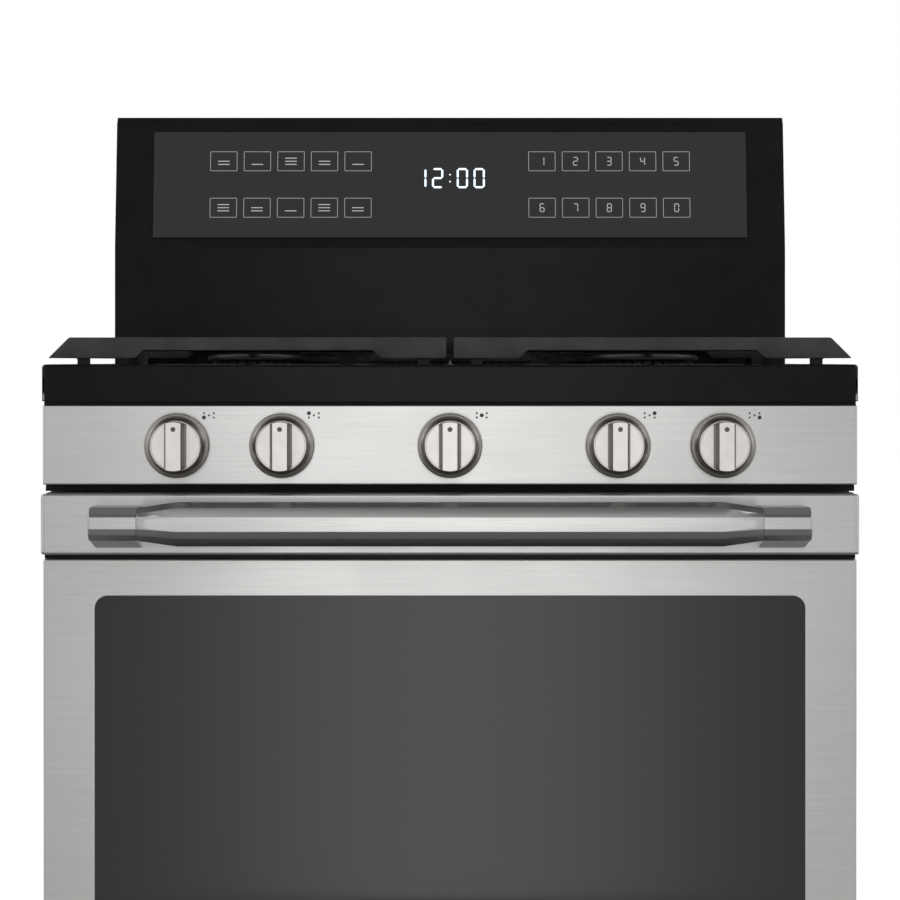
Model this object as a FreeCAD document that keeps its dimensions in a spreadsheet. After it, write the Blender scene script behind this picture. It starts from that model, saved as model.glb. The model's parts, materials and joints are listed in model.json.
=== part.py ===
import FreeCAD, Part
import math
import os
import re

import Sketcher

# A freestanding gas range: a bottom-hinged oven door over a storage drawer, push-to-turn burner
# knobs on the front, cast-iron grates over five sealed burners, and a backguard with the oven's
# control. Millimetres. +X is the user's right, +Y is towards the wall, +Z is up. The origin is on
# the floor, under the middle of the range's whole depth and width.

SIZES = {
    # the whole range
    "body_wide": 757, "body_front": -290, "body_rear": 366, "total_high": 1194, "gauge": 0.9,
    # cooktop pan
    "top_wide": 759, "top_front": -293, "top_back": 297, "top_high": 914, "top_low": 879.5,
    "rim_wide": 16, "basin_deep": 12, "top_gauge": 1, "seat_high": 3,
    # burners: where they stand, and each cap's radius
    "burner_x": 190, "burner_front_y": -150, "burner_rear_y": 140, "oval_y": -5, "oval_reach": 62,
    "cap_large": 52, "cap_medium": 46, "cap_fair": 40, "cap_small": 33, "cap_oval": 26,
    "cap_thick": 6.5, "crown_high": 12, "flange_high": 3, "throat_deep": 20, "throat_radius": 22,
    "crown_inset": 5, "flange_reach": 4, "slot_wide": 2.2, "slot_high": 4,
    # grates
    "grate_reach": 375, "grate_gap": 3.2, "grate_front": -280, "grate_back": 285, "grate_top": 939,
    "grate_low": 919.6, "arch_low": 927, "bar_wide": 11, "finger_wide": 9, "finger_low": 928.5,
    "end_slope": 19.5, "block_wide": 62, "arch_slope": 7.5, "outer_block": 82, "finger_stop": 21,
    "foot_wide": 11, "foot_x": 343,
    # control panel, valves and knobs
    "panel_low": 802, "panel_high": 876, "panel_back": -240, "knob_z": 838.5, "knob_inner": 156,
    "knob_outer": 253.5, "stem_hole": 8, "stem_radius": 3, "stem_clearance": 0.06,
    "knob_gap": 6, "skirt_radius": 30, "face_radius": 23.6, "knob_deep": 14, "grip_base": 9,
    "grip_tip": 7.2, "grip_deep": 36, "dot_radius": 2.3, "dot_up": 18,
    "valve_half": 13, "valve_front": -264, "tube_y": -248, "neck_radius": 9, "neck_front": -274,
    "stem_tip": -324, "stem_root": -246, "bore_end": -240, "bore_tip": -326,
    # gas supply
    "pipe_radius": 9.5, "pipe_y": -214, "pipe_reach": 330, "feed_y": 322, "inlet_z": 112,
    "inlet_radius": 10.5, "inlet_tip": 364, "inlet_root": 347, "collar_radius": 15, "regulator_radius": 24,
    "regulator_high": 44, "tube_radius": 4, "tube_z": 867,
    # chassis
    "rear_half": 376, "vent_reach": 280, "vent_long": 60, "vent_high": 5, "lead_x": -250, "lead_z": 142,
    "grommet_radius": 15, "lead_radius": 6, "screw_x": 369, "screw_hole": 2.2,
    "rail_inner": 340, "rail_outer": 374, "rail_low": 30, "rail_high": 62, "rail_front": -214,
    "rail_back": 350, "leg_x": 357, "leg_front_y": -190, "leg_back_y": 330, "leg_bore": 5,
    "rail_gauge": 2, "cross_deep": 44, "cross_high": 14, "back_deep": 32,
    "stud_radius": 4.93, "stud_top": 76, "foot_radius": 19, "foot_neck": 13, "foot_high": 9,
    "side_deep": 15, "swing_back": -224, "side_front": -236, "side_back": 352, "side_low": 62,
    "side_high": 879,
    # front frame and oven
    "frame_plane": -240, "frame_half": 372, "frame_low": 262, "frame_high": 801.5,
    "step_back": -218, "step_half": 362, "step_low": 200, "oven_half": 305, "oven_sill": 298,
    "oven_head": 728, "oven_floor": 270, "oven_back": 245, "oven_round": 12, "floor_plate": 300,
    "wool": 44, "deck_z": 800, "rib_deep": 8, "rib_high": 6, "rib_pitch": 62, "rib_first": 352,
    "rib_front": -228, "rib_back": 230, "rack_rod": 3.5, "rack_wire": 2, "rack_half": 299,
    "rack_front": -203, "rack_back": 234, "rack_bend": 22, "lamp_x": -215, "lamp_z": 665,
    "lamp_radius": 24, "sensor_x": 200, "sensor_z": 700, "gasket_half": 320, "gasket_low": 283,
    "gasket_high": 743, "gasket_thick": 5.4, "gasket_bend": 24,
    # door
    "skin_half": 378, "door_low": 207, "skin_high": 733, "skin_back": -256, "door_gauge": 2,
    "door_back": -246, "window_half": 330, "window_low": 345, "window_high": 698.5,
    "window_round": 12, "rail_low_z": 738, "rail_high_z": 794, "rail_proud": 16, "rail_half": 378.5,
    "rail_depth_back": -262, "liner_half": 374, "liner_front": -255.8, "liner_top": 790,
    "view_half": 250, "view_low": 395, "view_high": 655, "glass_thick": 4, "pane_margin": 14,
    "hinge_x": 300, "hinge_y": -262, "hinge_z": 239, "pin_radius": 4, "arm_half": 2.5,
    "arm_nose": 9, "arm_back": -196, "cheek_in": 4, "cheek_out": 7, "hinge_slot": 9,
    "channel_top": 328, "channel_front": -284, "channel_low": 219,
    # handle
    "bar_half": 284, "grasp_half": 248, "handle_half": 328, "handle_front": -366, "handle_back": -344,
    "handle_z": 769,
    # drawer
    "drawer_low": 60, "drawer_high": 197, "drawer_back": -266, "pull_half": 130, "pull_low": 160,
    "pull_high": 184, "pull_deep": 16, "pull_wall": 1.5, "box_half": 312, "box_low": 66,
    "box_high": 165, "box_back": 190, "runner_wide": 8, "runner_low": 100, "runner_high": 118,
    "guide_low": 94, "guide_high": 126,
    # backguard
    "guard_front": 299, "guard_back": 363, "guard_low": 880, "fascia_low": 1044, "fascia_high": 1186,
    "fascia_lean": 22, "guard_half": 378, "cap_wall": 4, "crown_slope": 8, "glass_low": 1056,
    "glass_high": 1176, "glass_half": 335, "fascia_glass": 3, "louvre_low": 917,
    "louvre_high": 922, "louvre_long": 44, "louvre_half": 168,
}

AXES = {"x": 0, "y": 1, "z": 2}
NEAR = 0.01
OVERSHOOT = "5"
WORD = re.compile(r"[a-z][a-z_]*")
LEFT, RIGHT = "-1", "1"
SIDES = (("left", LEFT), ("right", RIGHT))
KNOB_PLACES = (
    ("left_outer", "-knob_outer"),
    ("left_inner", "-knob_inner"),
    ("centre", "0"),
    ("right_inner", "knob_inner"),
    ("right_outer", "knob_outer"),
)
ROUND_BURNERS = (
    ("-burner_x", "burner_front_y", "cap_medium", 26),
    ("-burner_x", "burner_rear_y", "cap_small", 18),
    ("burner_x", "burner_front_y", "cap_large", 30),
    ("burner_x", "burner_rear_y", "cap_fair", 22),
)

doc = FreeCAD.newDocument("gas_range")
sheet = doc.addObject("Spreadsheet::Sheet", "Sizes")
for row, (alias, size) in enumerate(SIZES.items(), 1):
    sheet.set(f"A{row}", alias)
    sheet.set(f"B{row}", str(size))
    sheet.setAlias(f"B{row}", alias)
doc.recompute()
nodes = []


def formula(text):
    """An expression in the sheet's aliases, as FreeCAD reads it."""
    return WORD.sub(lambda word: "Sizes." + word.group(0), str(text))


def bind(thing, name, text):
    thing.setExpression(name, formula(text))


def span_of(low, high):
    return f"({high}) - ({low})"


def past(place, way=1):
    """A little beyond a place, so that a cut goes clean through there."""
    return f"{place} + {OVERSHOOT}" if way > 0 else f"{place} - {OVERSHOOT}"


def through(face):
    """A cut's span through a thin wall at face."""
    return past(face, -1), past(face)


def sided(side, low, high):
    """A stretch of x on one side of the range, lowest first."""
    return (low, high) if side == RIGHT else (f"-({high})", f"-({low})")


class Piece:
    """One PartDesign body, with features bound to the sheet."""

    def __init__(self, label, at=("0", "0", "0"), node=True):
        self.body = doc.addObject("PartDesign::Body", label)
        self.body.Label = label
        for axis, text in zip("xyz", at):
            bind(self.body, f"Placement.Base.{axis}", text)
        self.feature = None
        if node:
            nodes.append(self.body)

    def made(self, feature):
        self.feature = feature
        return self

    def plane(self, role):
        return next(part for part in self.body.Origin.OriginFeatures if part.Role == role)

    def box(self, x, y, z, cut=False):
        kind = "PartDesign::SubtractiveBox" if cut else "PartDesign::AdditiveBox"
        block = self.body.newObject(kind, "Block")
        for name, axis, (low, high) in (("Length", "x", x), ("Width", "y", y), ("Height", "z", z)):
            bind(block, name, span_of(low, high))
            bind(block, f"Placement.Base.{axis}", low)
        return self.made(block)

    def rod(self, axis, span, centre, radius, cut=False, tip=None):
        """A cylinder, or with tip a cone, along an axis. centre gives the other two places."""
        kind = ("Subtractive" if cut else "Additive") + ("Cone" if tip else "Cylinder")
        turned = {"x": (0, 1, 0, 90), "y": (1, 0, 0, -90), "z": (0, 0, 1, 0)}[axis]
        rod = self.body.newObject("PartDesign::" + kind, "Rod")
        rod.Placement = FreeCAD.Placement(
            FreeCAD.Vector(), FreeCAD.Rotation(FreeCAD.Vector(*turned[:3]), turned[3])
        )
        bind(rod, "Radius1" if tip else "Radius", radius)
        if tip:
            bind(rod, "Radius2", tip)
        bind(rod, "Height", span_of(*span))
        places = list(centre)
        places.insert(AXES[axis], span[0])
        for name, text in zip("xyz", places):
            bind(rod, f"Placement.Base.{name}", text)
        return self.made(rod)

    def outline(self, plane, points, offset="0"):
        """A closed sketch of straight lines on an origin plane, each corner bound to the sheet."""
        sketch = self.body.newObject("Sketcher::SketchObject", "Outline")
        sketch.AttachmentSupport = [(self.plane(plane + "_Plane"), "")]
        sketch.MapMode = "FlatFace"
        bind(sketch, "AttachmentOffset.Base.z", offset)
        count = len(points)
        corners = [FreeCAD.Vector(math.cos(number), math.sin(number), 0) for number in range(count + 1)]
        sketch.addGeometry([Part.LineSegment(*corners[number:number + 2]) for number in range(count)])
        follower = [*range(1, count), 0]
        held = [Sketcher.Constraint("Coincident", number, 2, follower[number], 1) for number in range(count)]
        places = [(kind, number, text) for number, corner in enumerate(points)
                  for kind, text in zip(("DistanceX", "DistanceY"), corner)]
        held += [Sketcher.Constraint(kind, -1, 1, number, 1, 1.0) for kind, number, _ in places]
        sketch.addConstraint(held)
        for number, (_, _, text) in enumerate(places, count):
            bind(sketch, f"Constraints[{number}]", text)
        return sketch

    def prism(self, plane, points, span, cut=False):
        """An outline on XY, XZ or YZ, carried from span's low to its high along the third axis."""
        low, high = span
        faces_back = plane == "XZ"
        offset = f"-({low})" if faces_back and cut else f"-({high})" if faces_back else high if cut else low
        sketch = self.outline(plane, points, offset)
        prism = self.body.newObject("PartDesign::Pocket" if cut else "PartDesign::Pad", "Prism")
        prism.Profile = sketch
        bind(prism, "Length", span_of(low, high))
        return self.made(prism)

    def turned(self, points, plane="XZ"):
        """A solid of revolution: the outline's first number is a radius, about the sketch's upright."""
        sketch = self.outline(plane, points)
        turned = self.body.newObject("PartDesign::Revolution", "Turned")
        turned.Profile = sketch
        turned.ReferenceAxis = (sketch, ["V_Axis"])
        return self.made(turned)

    def loft(self, plane, sections):
        """A solid whose straight sides run from outline to outline, each (offset, points)."""
        sketches = [self.outline(plane, points, offset) for offset, points in sections]
        loft = self.body.newObject("PartDesign::AdditiveLoft", "Loft")
        loft.Profile = sketches[0]
        loft.Sections = sketches[1:]
        loft.Ruled = True
        return self.made(loft)

    def repeat(self, axis, length, count):
        """The last feature again and again along an axis, over a length."""
        pattern = self.body.newObject("PartDesign::LinearPattern", "Row")
        pattern.Originals = [self.feature]
        pattern.Direction = (self.plane(axis.upper() + "_Axis"), [""])
        bind(pattern, "Length", length)
        pattern.Occurrences = count
        self.body.Tip = pattern
        return self.made(pattern)

    def ring(self, count):
        """The last feature again and again round the upright axis."""
        pattern = self.body.newObject("PartDesign::PolarPattern", "Ring")
        pattern.Originals = [self.feature]
        pattern.Axis = (self.plane("Z_Axis"), [""])
        pattern.Angle = 360
        pattern.Occurrences = count
        self.body.Tip = pattern
        return self.made(pattern)

    def edges(self, along=None, **planes):
        """The names of the straight edges that run along an axis and lie where planes says."""
        doc.recompute()
        corners = [vertex.Point for vertex in self.body.Tip.Shape.Vertexes]
        reach = {axis: [corner[place] for corner in corners] for axis, place in AXES.items()}
        found = []
        for number, edge in enumerate(self.body.Tip.Shape.Edges, 1):
            box = edge.BoundBox
            lows = dict(zip("xyz", (box.XMin, box.YMin, box.ZMin)))
            highs = dict(zip("xyz", (box.XMax, box.YMax, box.ZMax)))
            if along and any(highs[a] - lows[a] > NEAR for a in "xyz" if a != along):
                continue
            wanted = True
            for axis, place in planes.items():
                ends = {"min": min(reach[axis]), "max": max(reach[axis])}
                if isinstance(place, tuple):
                    wanted &= place[0] - NEAR < lows[axis] and highs[axis] < place[1] + NEAR
                else:
                    at = ends.get(place, place)
                    wanted &= abs(lows[axis] - at) + abs(highs[axis] - at) < 2 * NEAR
            if wanted:
                found.append(f"Edge{number}")
        return found

    def dress(self, kind, name, size, where):
        edges = self.edges(**where)
        if not edges:
            raise ValueError(f"{self.body.Label}: no edge to dress at {where}")
        base = self.body.Tip
        dressing = self.body.newObject(kind, name)
        dressing.Base = (base, edges)
        bind(dressing, "Radius" if name == "Round" else "Size", size)
        return self.made(dressing)

    def round(self, radius, **where):
        return self.dress("PartDesign::Fillet", "Round", radius, where)

    def bevel(self, size, **where):
        return self.dress("PartDesign::Chamfer", "Bevel", size, where)


def group(label, pieces):
    """Separate solids that share one node."""
    bundle = doc.addObject("Part::Compound", label)
    bundle.Label = label
    bundle.Links = [piece.body for piece in pieces]
    nodes.append(bundle)
    doc.recompute()
    return bundle


def size_of(alias):
    return float(sheet.get(alias))


def point(x, y, z):
    return FreeCAD.Vector(x, y, z)


def bent_rod(points, radius, bend, closed=False):
    """A round rod along straight runs joined by tangent arcs."""
    count = len(points)
    corners = range(count) if closed else range(1, count - 1)
    cuts = {}
    for number in corners:
        corner, before, after = points[number], points[number - 1], points[(number + 1) % count]
        back = (before - corner).normalize()
        on = (after - corner).normalize()
        half = back.getAngle(on) / 2
        reach = bend / math.tan(half)
        middle = (back + on).normalize() * (bend / math.sin(half) - bend)
        cuts[number] = (corner + back * reach, corner + middle, corner + on * reach)
    edges = []
    for number in range(count if closed else count - 1):
        follower = (number + 1) % count
        start = cuts[number][2] if number in cuts else points[number]
        end = cuts[follower][0] if follower in cuts else points[follower]
        edges.append(Part.LineSegment(start, end).toShape())
        if follower in cuts:
            edges.append(Part.Arc(*cuts[follower]).toShape())
    spine = Part.Wire(edges)
    start = edges[0].Vertexes[0].Point
    section = Part.Wire(Part.makeCircle(radius, start, edges[0].tangentAt(0)))
    return spine.makePipeShell([section], True, False)


def part_feature(label, shape, place=FreeCAD.Vector()):
    feature = doc.addObject("Part::Feature", label)
    feature.Label = label
    feature.Shape = shape
    feature.Placement = FreeCAD.Placement(place, FreeCAD.Rotation())
    nodes.append(feature)
    return feature


# ---- chassis -------------------------------------------------------------------------------

def base_frame():
    """Channels along the sides and the back that open inwards, and a shallow one across the front,
    drilled for the four levelling legs."""
    frame = Piece("base_frame")
    inside = ("rail_low + rail_gauge", "rail_high - rail_gauge")
    back = ("rail_back - back_deep", "rail_back")
    front = ("rail_front", "rail_front + cross_deep")
    frame.box(("-rail_outer", "rail_outer"), back, ("rail_low", "rail_high"))
    frame.box(("-rail_outer", "rail_outer"), front, ("rail_low", "rail_low + cross_high"))
    for _, side in SIDES:
        frame.box(sided(side, "rail_inner", "rail_outer"), ("rail_front", "rail_back"),
                  ("rail_low", "rail_high"))
    frame.box(("-rail_inner", "rail_inner"), (past(back[0], -1), "rail_back - rail_gauge"), inside, cut=True)
    frame.box(("-rail_inner", "rail_inner"),
              ("rail_front + rail_gauge", "rail_front + cross_deep - rail_gauge"),
              (past("rail_low", -1), "rail_low + cross_high - rail_gauge"), cut=True)
    for _, side in SIDES:
        frame.box(sided(side, "rail_inner", "rail_outer - rail_gauge"),
                  ("rail_front + rail_gauge", "rail_back - rail_gauge"), inside, cut=True)
        for place in ("leg_front_y", "leg_back_y"):
            frame.rod("z", (past("rail_low", -1), past("rail_high")), (f"{side} * leg_x", place),
                      "leg_bore", cut=True)


def levelling_legs():
    """A threaded stud on a flared foot at each corner."""
    legs = []
    for side_name, side in SIDES:
        for end_name, place in (("front", "leg_front_y"), ("rear", "leg_back_y")):
            leg = Piece(f"leg_{end_name}_{side_name}", (f"{side} * leg_x", place, "0"), node=False)
            leg.turned((
                ("0", "0"), ("foot_radius - 1.5", "0"), ("foot_radius", "1.5"), ("foot_radius", "4"),
                ("foot_neck", "foot_high"), ("stud_radius", "foot_high"), ("stud_radius", "stud_top - 1.5"),
                ("stud_radius - 1.5", "stud_top"), ("0", "stud_top"),
            ))
            legs.append(leg)
    group("levelling_legs", legs)


def side_panels():
    """A folded tray each side, with a shallow pressed field in its outer face and a notch in its
    front edge that the door's lower edge swings into."""
    for name, side in SIDES:
        panel = Piece(f"side_panel_{name}")
        outer = "body_wide / 2"
        panel.box(sided(side, f"{outer} - side_deep", outer), ("side_front", "side_back"),
                  ("side_low", "side_high"))
        panel.round("2.5", along="z", y="min", x="min" if side == LEFT else "max")
        panel.box(sided(side, f"{outer} - side_deep - {OVERSHOOT}", f"{outer} - 2 * gauge"),
                  ("side_front + gauge", "side_back - gauge"), ("side_low + gauge", "side_high - gauge"),
                  cut=True)
        panel.box(sided(side, f"{outer} - gauge / 2", f"{outer} + {OVERSHOOT}"),
                  ("side_front + 44", "side_back - 44"), ("side_low + 60", "side_high - 60"), cut=True)
        panel.box(sided(side, f"{outer} - side_deep - {OVERSHOOT}", f"{outer} + {OVERSHOOT}"),
                  (past("side_front", -1), "swing_back"), ("step_low - 8", "frame_low"), cut=True)


def screw_places():
    """Where the rear screws stand: x, z, and the face that their heads sit on."""
    places = []
    for side in (LEFT, RIGHT):
        for height in ("side_low + 20", "side_low + 290", "side_low + 560", "side_high - 26"):
            places.append((f"{side} * screw_x", height, "side_back + gauge"))
    for x in ("-362", "0", "362"):
        for height in ("guard_low + 24", "total_high - 30"):
            places.append((x, height, "guard_back"))
    return places


def rear_panel():
    """The flat back sheet, with cooling louvres, a gas opening and a hole for the supply lead."""
    panel = Piece("rear_panel")
    panel.box(("-rear_half", "rear_half"), ("side_back", "side_back + gauge"), ("side_low", "side_high - 13"))
    sheet_cut = through("side_back")
    panel.box(("pipe_reach - 48", "pipe_reach + 32"), sheet_cut, ("side_low + 14", "side_low + 110"),
              cut=True)
    panel.rod("y", sheet_cut, ("lead_x", "lead_z"), "12", cut=True)
    for height in ("side_low + 220", "side_low + 238", "side_high - 190", "side_high - 172"):
        panel.box(("-vent_reach", "-vent_reach + vent_long"), sheet_cut,
                  (height, f"{height} + vent_high"), cut=True)
        panel.repeat("x", "2 * vent_reach - vent_long", 6)
    for x, z, face in screw_places():
        if face != "guard_back":
            panel.rod("y", sheet_cut, (x, z), "screw_hole", cut=True)


def rear_screws():
    """Hex washer screws of the back sheet and of the backguard's cover."""
    screws = []
    turns = [math.pi / 3 * number for number in range(6)]
    hexagon = [(f"{3.5 * math.cos(turn):.4f}", f"{3.5 * math.sin(turn):.4f}") for turn in turns]
    for number, (x, z, face) in enumerate(screw_places()):
        screw = Piece(f"rear_screw_{number}", (x, face, z), node=False)
        screw.rod("y", ("-gauge", "0"), ("0", "0"), "2")
        screw.rod("y", ("0", "0.9"), ("0", "0"), "4.6")
        screw.prism("XZ", hexagon, ("0.9", "3"))
        screws.append(screw)
    group("rear_screws", screws)


def power_inlet():
    """The grommet that the supply lead would leave through."""
    grommet = Piece("power_inlet", ("lead_x", "side_back", "lead_z"))
    grommet.rod("y", ("-4", "0"), ("0", "0"), "grommet_radius")
    grommet.rod("y", ("0", "gauge"), ("0", "0"), "11.9")
    grommet.rod("y", ("gauge", "gauge + 8"), ("0", "0"), "grommet_radius", tip="12")
    grommet.rod("y", ("-5", "gauge + 9"), ("0", "0"), "lead_radius", cut=True)


def front_frame():
    """The enamelled plate round the oven's mouth. Below it the frame steps back, so that the door's
    lower edge can swing in."""
    frame = Piece("oven_front_frame")
    face = ("frame_plane", "frame_plane + gauge")
    frame.box(("-frame_half", "frame_half"), face, ("frame_low", "frame_high"))
    frame.box(("-oven_half", "oven_half"), through("frame_plane"),
              ("oven_sill", "oven_head"), cut=True)
    frame.round("oven_round", along="y", x=(-size_of("oven_half"), size_of("oven_half")))
    frame.box(("-step_half", "step_half"), ("frame_plane + gauge", "step_back"),
              ("frame_low", "frame_low + gauge"))
    frame.box(("-step_half", "step_half"), ("step_back", "step_back + gauge"),
              ("step_low", "frame_low + gauge"))
    for _, side in SIDES:
        frame.box(sided(side, "hinge_x - 5", "hinge_x + 5"), through("step_back"),
                  ("hinge_z - 13", "hinge_z + 13"), cut=True)


def oven_shield():
    """The sheet that keeps the oven's heat off the drawer."""
    shield = Piece("oven_bottom_shield")
    shield.box(("-step_half", "step_half"), ("step_back + gauge", "side_back - 2"),
               ("step_low", "step_low + gauge"))
    shield.rod("z", ("step_low - 5", "step_low + 5"), ("pipe_reach", "feed_y"), "13", cut=True)


def burner_box_floor():
    """The deck between the oven's wool and the space under the cooktop."""
    deck = Piece("burner_box_floor")
    deck.box(("-step_half", "step_half"), ("side_front + 2", "side_back - 2"),
             ("deck_z + 2", "deck_z + 2 + gauge"))
    deck.box(("-step_half", "step_half"), ("side_front + 2", "side_front + 2 + gauge"),
             ("deck_z + 2", "deck_z + 16"))
    deck.rod("z", ("deck_z - 3", "deck_z + 8"), ("pipe_reach", "feed_y"), "13", cut=True)


# ---- oven ----------------------------------------------------------------------------------

def oven_liner():
    """The enamelled box of the oven, with pressed ribs that carry the racks."""
    liner = Piece("oven_liner")
    front = ("frame_plane + gauge", "oven_back + gauge")
    liner.box(("-oven_half - gauge", "oven_half + gauge"), front, ("oven_floor - gauge", "oven_head + gauge"))
    liner.box(("-oven_half", "oven_half"), ("frame_plane", "oven_back"), ("oven_floor", "oven_head"),
              cut=True)
    liner.round("oven_round", along="y", x=(-size_of("oven_half"), size_of("oven_half")),
                z=(size_of("oven_floor"), size_of("oven_head")))
    liner.round("oven_round + gauge", along="y", x="min")
    liner.round("oven_round + gauge", along="y", x="max")
    for _, side in SIDES:
        liner.box(sided(side, "oven_half - rib_deep", "oven_half + gauge / 2"), ("rib_front", "rib_back"),
                  ("rib_first", "rib_first + rib_high")).repeat("z", "5 * rib_pitch", 6)
    liner.rod("y", through("oven_back"), ("lamp_x", "lamp_z"),
              "lamp_radius - 4", cut=True)
    liner.rod("y", through("oven_back"), ("sensor_x", "sensor_z"), "3.2", cut=True)
    for height in ("oven_head - 36", "oven_head - 26"):
        liner.box(("-90", "-60"), through("oven_back"),
                  (height, f"{height} + 5"), cut=True).repeat("x", "150", 4)


def oven_insulation():
    """Glass wool over the liner's sides, top and back."""
    wool = Piece("oven_insulation")
    wool.box(("-oven_half - gauge - wool", "oven_half + gauge + wool"),
             ("side_front + 0.5", "oven_back + gauge + wool"),
             ("oven_floor - gauge", "oven_head + gauge + wool"))
    wool.round("oven_round", along="y")
    wool.box(("-oven_half - 2 * gauge", "oven_half + 2 * gauge"), ("side_front - 1", "oven_back + 2 * gauge"),
             ("oven_floor - 9", "oven_head + 2 * gauge"), cut=True)
    back = ("oven_back", past("oven_back + wool"))
    wool.rod("y", back, ("lamp_x", "lamp_z"), "12", cut=True)
    wool.rod("y", back, ("sensor_x", "sensor_z"), "4", cut=True)


def oven_floor_panel():
    """The lift-out floor, slotted along both sides for the bake burner's heat."""
    floor = Piece("oven_floor_panel")
    floor.box(("-oven_half + 3", "oven_half - 3"), ("frame_plane + 6", "oven_back - 3"),
              ("floor_plate", "floor_plate + gauge"))
    for _, side in SIDES:
        floor.box(sided(side, "oven_half - 20", "oven_half - 17"), ("frame_plane + 6", "oven_back - 3"),
                  ("oven_floor", "floor_plate + gauge"))
        floor.box(sided(side, "oven_half - 36", "oven_half - 29"), ("-190", "-150"),
                  ("floor_plate - 2", "floor_plate + 4"), cut=True).repeat("y", "320", 6)


def oven_burners():
    """The bake burner under the floor and the broil burner under the roof."""
    bake = Piece("bake_burner", node=False)
    bake.rod("y", ("-190", "oven_back - 1"), ("0", "oven_floor + 14"), "11").round("9", y="min")
    broil = Piece("broil_burner", node=False)
    broil.rod("y", ("-150", "oven_back - 1"), ("0", "oven_head - 14"), "9").round("7", y="min")
    broil.box(("-120", "120"), ("-140", "200"), ("oven_head - 4", "oven_head - 2.5"))
    for y in ("-100", "160"):
        broil.box(("-3", "3"), (y, f"{y} + 10"), ("oven_head - 12", "oven_head - 1"))
    group("oven_burners", [bake, broil])


def oven_lamp():
    """The lamp's glass dome in the back wall, and the bulb behind it."""
    lens = Piece("oven_lamp_lens", ("lamp_x", "oven_back", "lamp_z"), node=False)
    lens.turned((("0", "-16"), ("10", "-14"), ("17", "-9"), ("lamp_radius - 3", "-3"), ("lamp_radius", "-3"),
                 ("lamp_radius", "-0.3"), ("lamp_radius - 5", "-0.3"), ("12", "-10"), ("0", "-13")),
                 plane="XY")
    bulb = Piece("oven_lamp_bulb", ("lamp_x", "oven_back", "lamp_z"), node=False)
    bulb.turned((("0", "-9"), ("6", "-7"), ("8.5", "-1"), ("7", "8"), ("9", "12"), ("9", "34"),
                 ("0", "34")), plane="XY")
    group("oven_lamp", [lens, bulb])


def temperature_sensor():
    """The probe in the oven's back wall."""
    probe = Piece("temperature_sensor", ("sensor_x", "oven_back", "sensor_z"))
    probe.rod("y", ("-95", "20"), ("0", "0"), "2.6").round("2", y="min")
    probe.box(("-9", "9"), ("-2.4", "-0.4"), ("-5", "5"))


def oven_gasket():
    """The sealing rope round the oven's mouth."""
    half, low, high = size_of("gasket_half"), size_of("gasket_low"), size_of("gasket_high")
    thick = size_of("gasket_thick")
    y = size_of("frame_plane") - thick / 2 - 0.1
    corners = [point(x, y, z) for x, z in ((0, low), (half, low), (half, high), (-half, high), (-half, low))]
    part_feature("oven_gasket", bent_rod(corners + corners[:1], thick / 2, size_of("gasket_bend")))


def oven_racks():
    """A wire rack on the second rib and one on the fourth."""
    half, front, back = size_of("rack_half"), size_of("rack_front"), size_of("rack_back")
    rod, wire = size_of("rack_rod"), size_of("rack_wire")
    edge = [point(0, front, 0), point(half, front, 0), point(half, back, 0),
            point(-half, back, 0), point(-half, front, 0), point(0, front, 0)]
    shapes = [bent_rod(edge, rod, size_of("rack_bend"))]
    for y in (front + 90, front + 219, front + 348):
        shapes.append(Part.makeCylinder(wire + 0.6, 2 * half, point(-half, y, 0), point(1, 0, 0)))
    for number in range(-6, 7):
        shapes.append(Part.makeCylinder(wire, back - front, point(number * 45, front, 2), point(0, 1, 0)))
    rack = shapes[0].multiFuse(shapes[1:])
    for name, rib in (("lower", 1), ("upper", 3)):
        z = size_of("rib_first") + rib * size_of("rib_pitch") + size_of("rib_high") + rod + 0.3
        part_feature(f"oven_rack_{name}", rack, point(0, 0, z))


# ---- cooktop -------------------------------------------------------------------------------

def cooktop():
    """One pressed pan: a raised rim, a shallow basin, and a raised seat round each burner."""
    pan = Piece("cooktop")
    half = "top_wide / 2"
    floor = "top_high - basin_deep"
    pan.box((f"-{half}", half), ("top_front", "top_back"), ("top_low", "top_high"))
    pan.round("6", along="z")
    pan.round("3.5", z="max")
    pan.box((f"-{half} + rim_wide", f"{half} - rim_wide"), ("top_front + rim_wide", "top_back - rim_wide"),
            (floor, past("top_high")), cut=True)
    inner = size_of("top_wide") / 2 - size_of("rim_wide")
    pan.round("14", along="z", x=(-inner, inner),
              z=(size_of("top_high") - size_of("basin_deep"), size_of("top_high")))
    pan.round("4", z=size_of("top_high") - size_of("basin_deep"))
    pan.box((f"-{half} + top_gauge", f"{half} - top_gauge"),
            ("top_front + top_gauge", "top_back - top_gauge"),
            (past("top_low", -1), f"{floor} - top_gauge"), cut=True)
    for x, y, cap, _ in ROUND_BURNERS:
        pan.rod("z", (floor, f"{floor} + seat_high"), (x, y), f"{cap} + 20", tip=f"{cap} + 12")
        pan.rod("z", ("top_low", "top_high"), (x, y), "throat_radius + 0.5", cut=True)
    for end in ("-oval_reach", "oval_reach"):
        pan.rod("z", (floor, f"{floor} + seat_high"), (end, "oval_y"), "cap_oval + 18", tip="cap_oval + 12")
    pan.box(("-oval_reach", "oval_reach"), ("oval_y - cap_oval - 12", "oval_y + cap_oval + 12"),
            (floor, f"{floor} + seat_high"))
    pan.rod("z", ("top_low", "top_high"), ("0", "oval_y"), "throat_radius + 0.5", cut=True)


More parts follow.
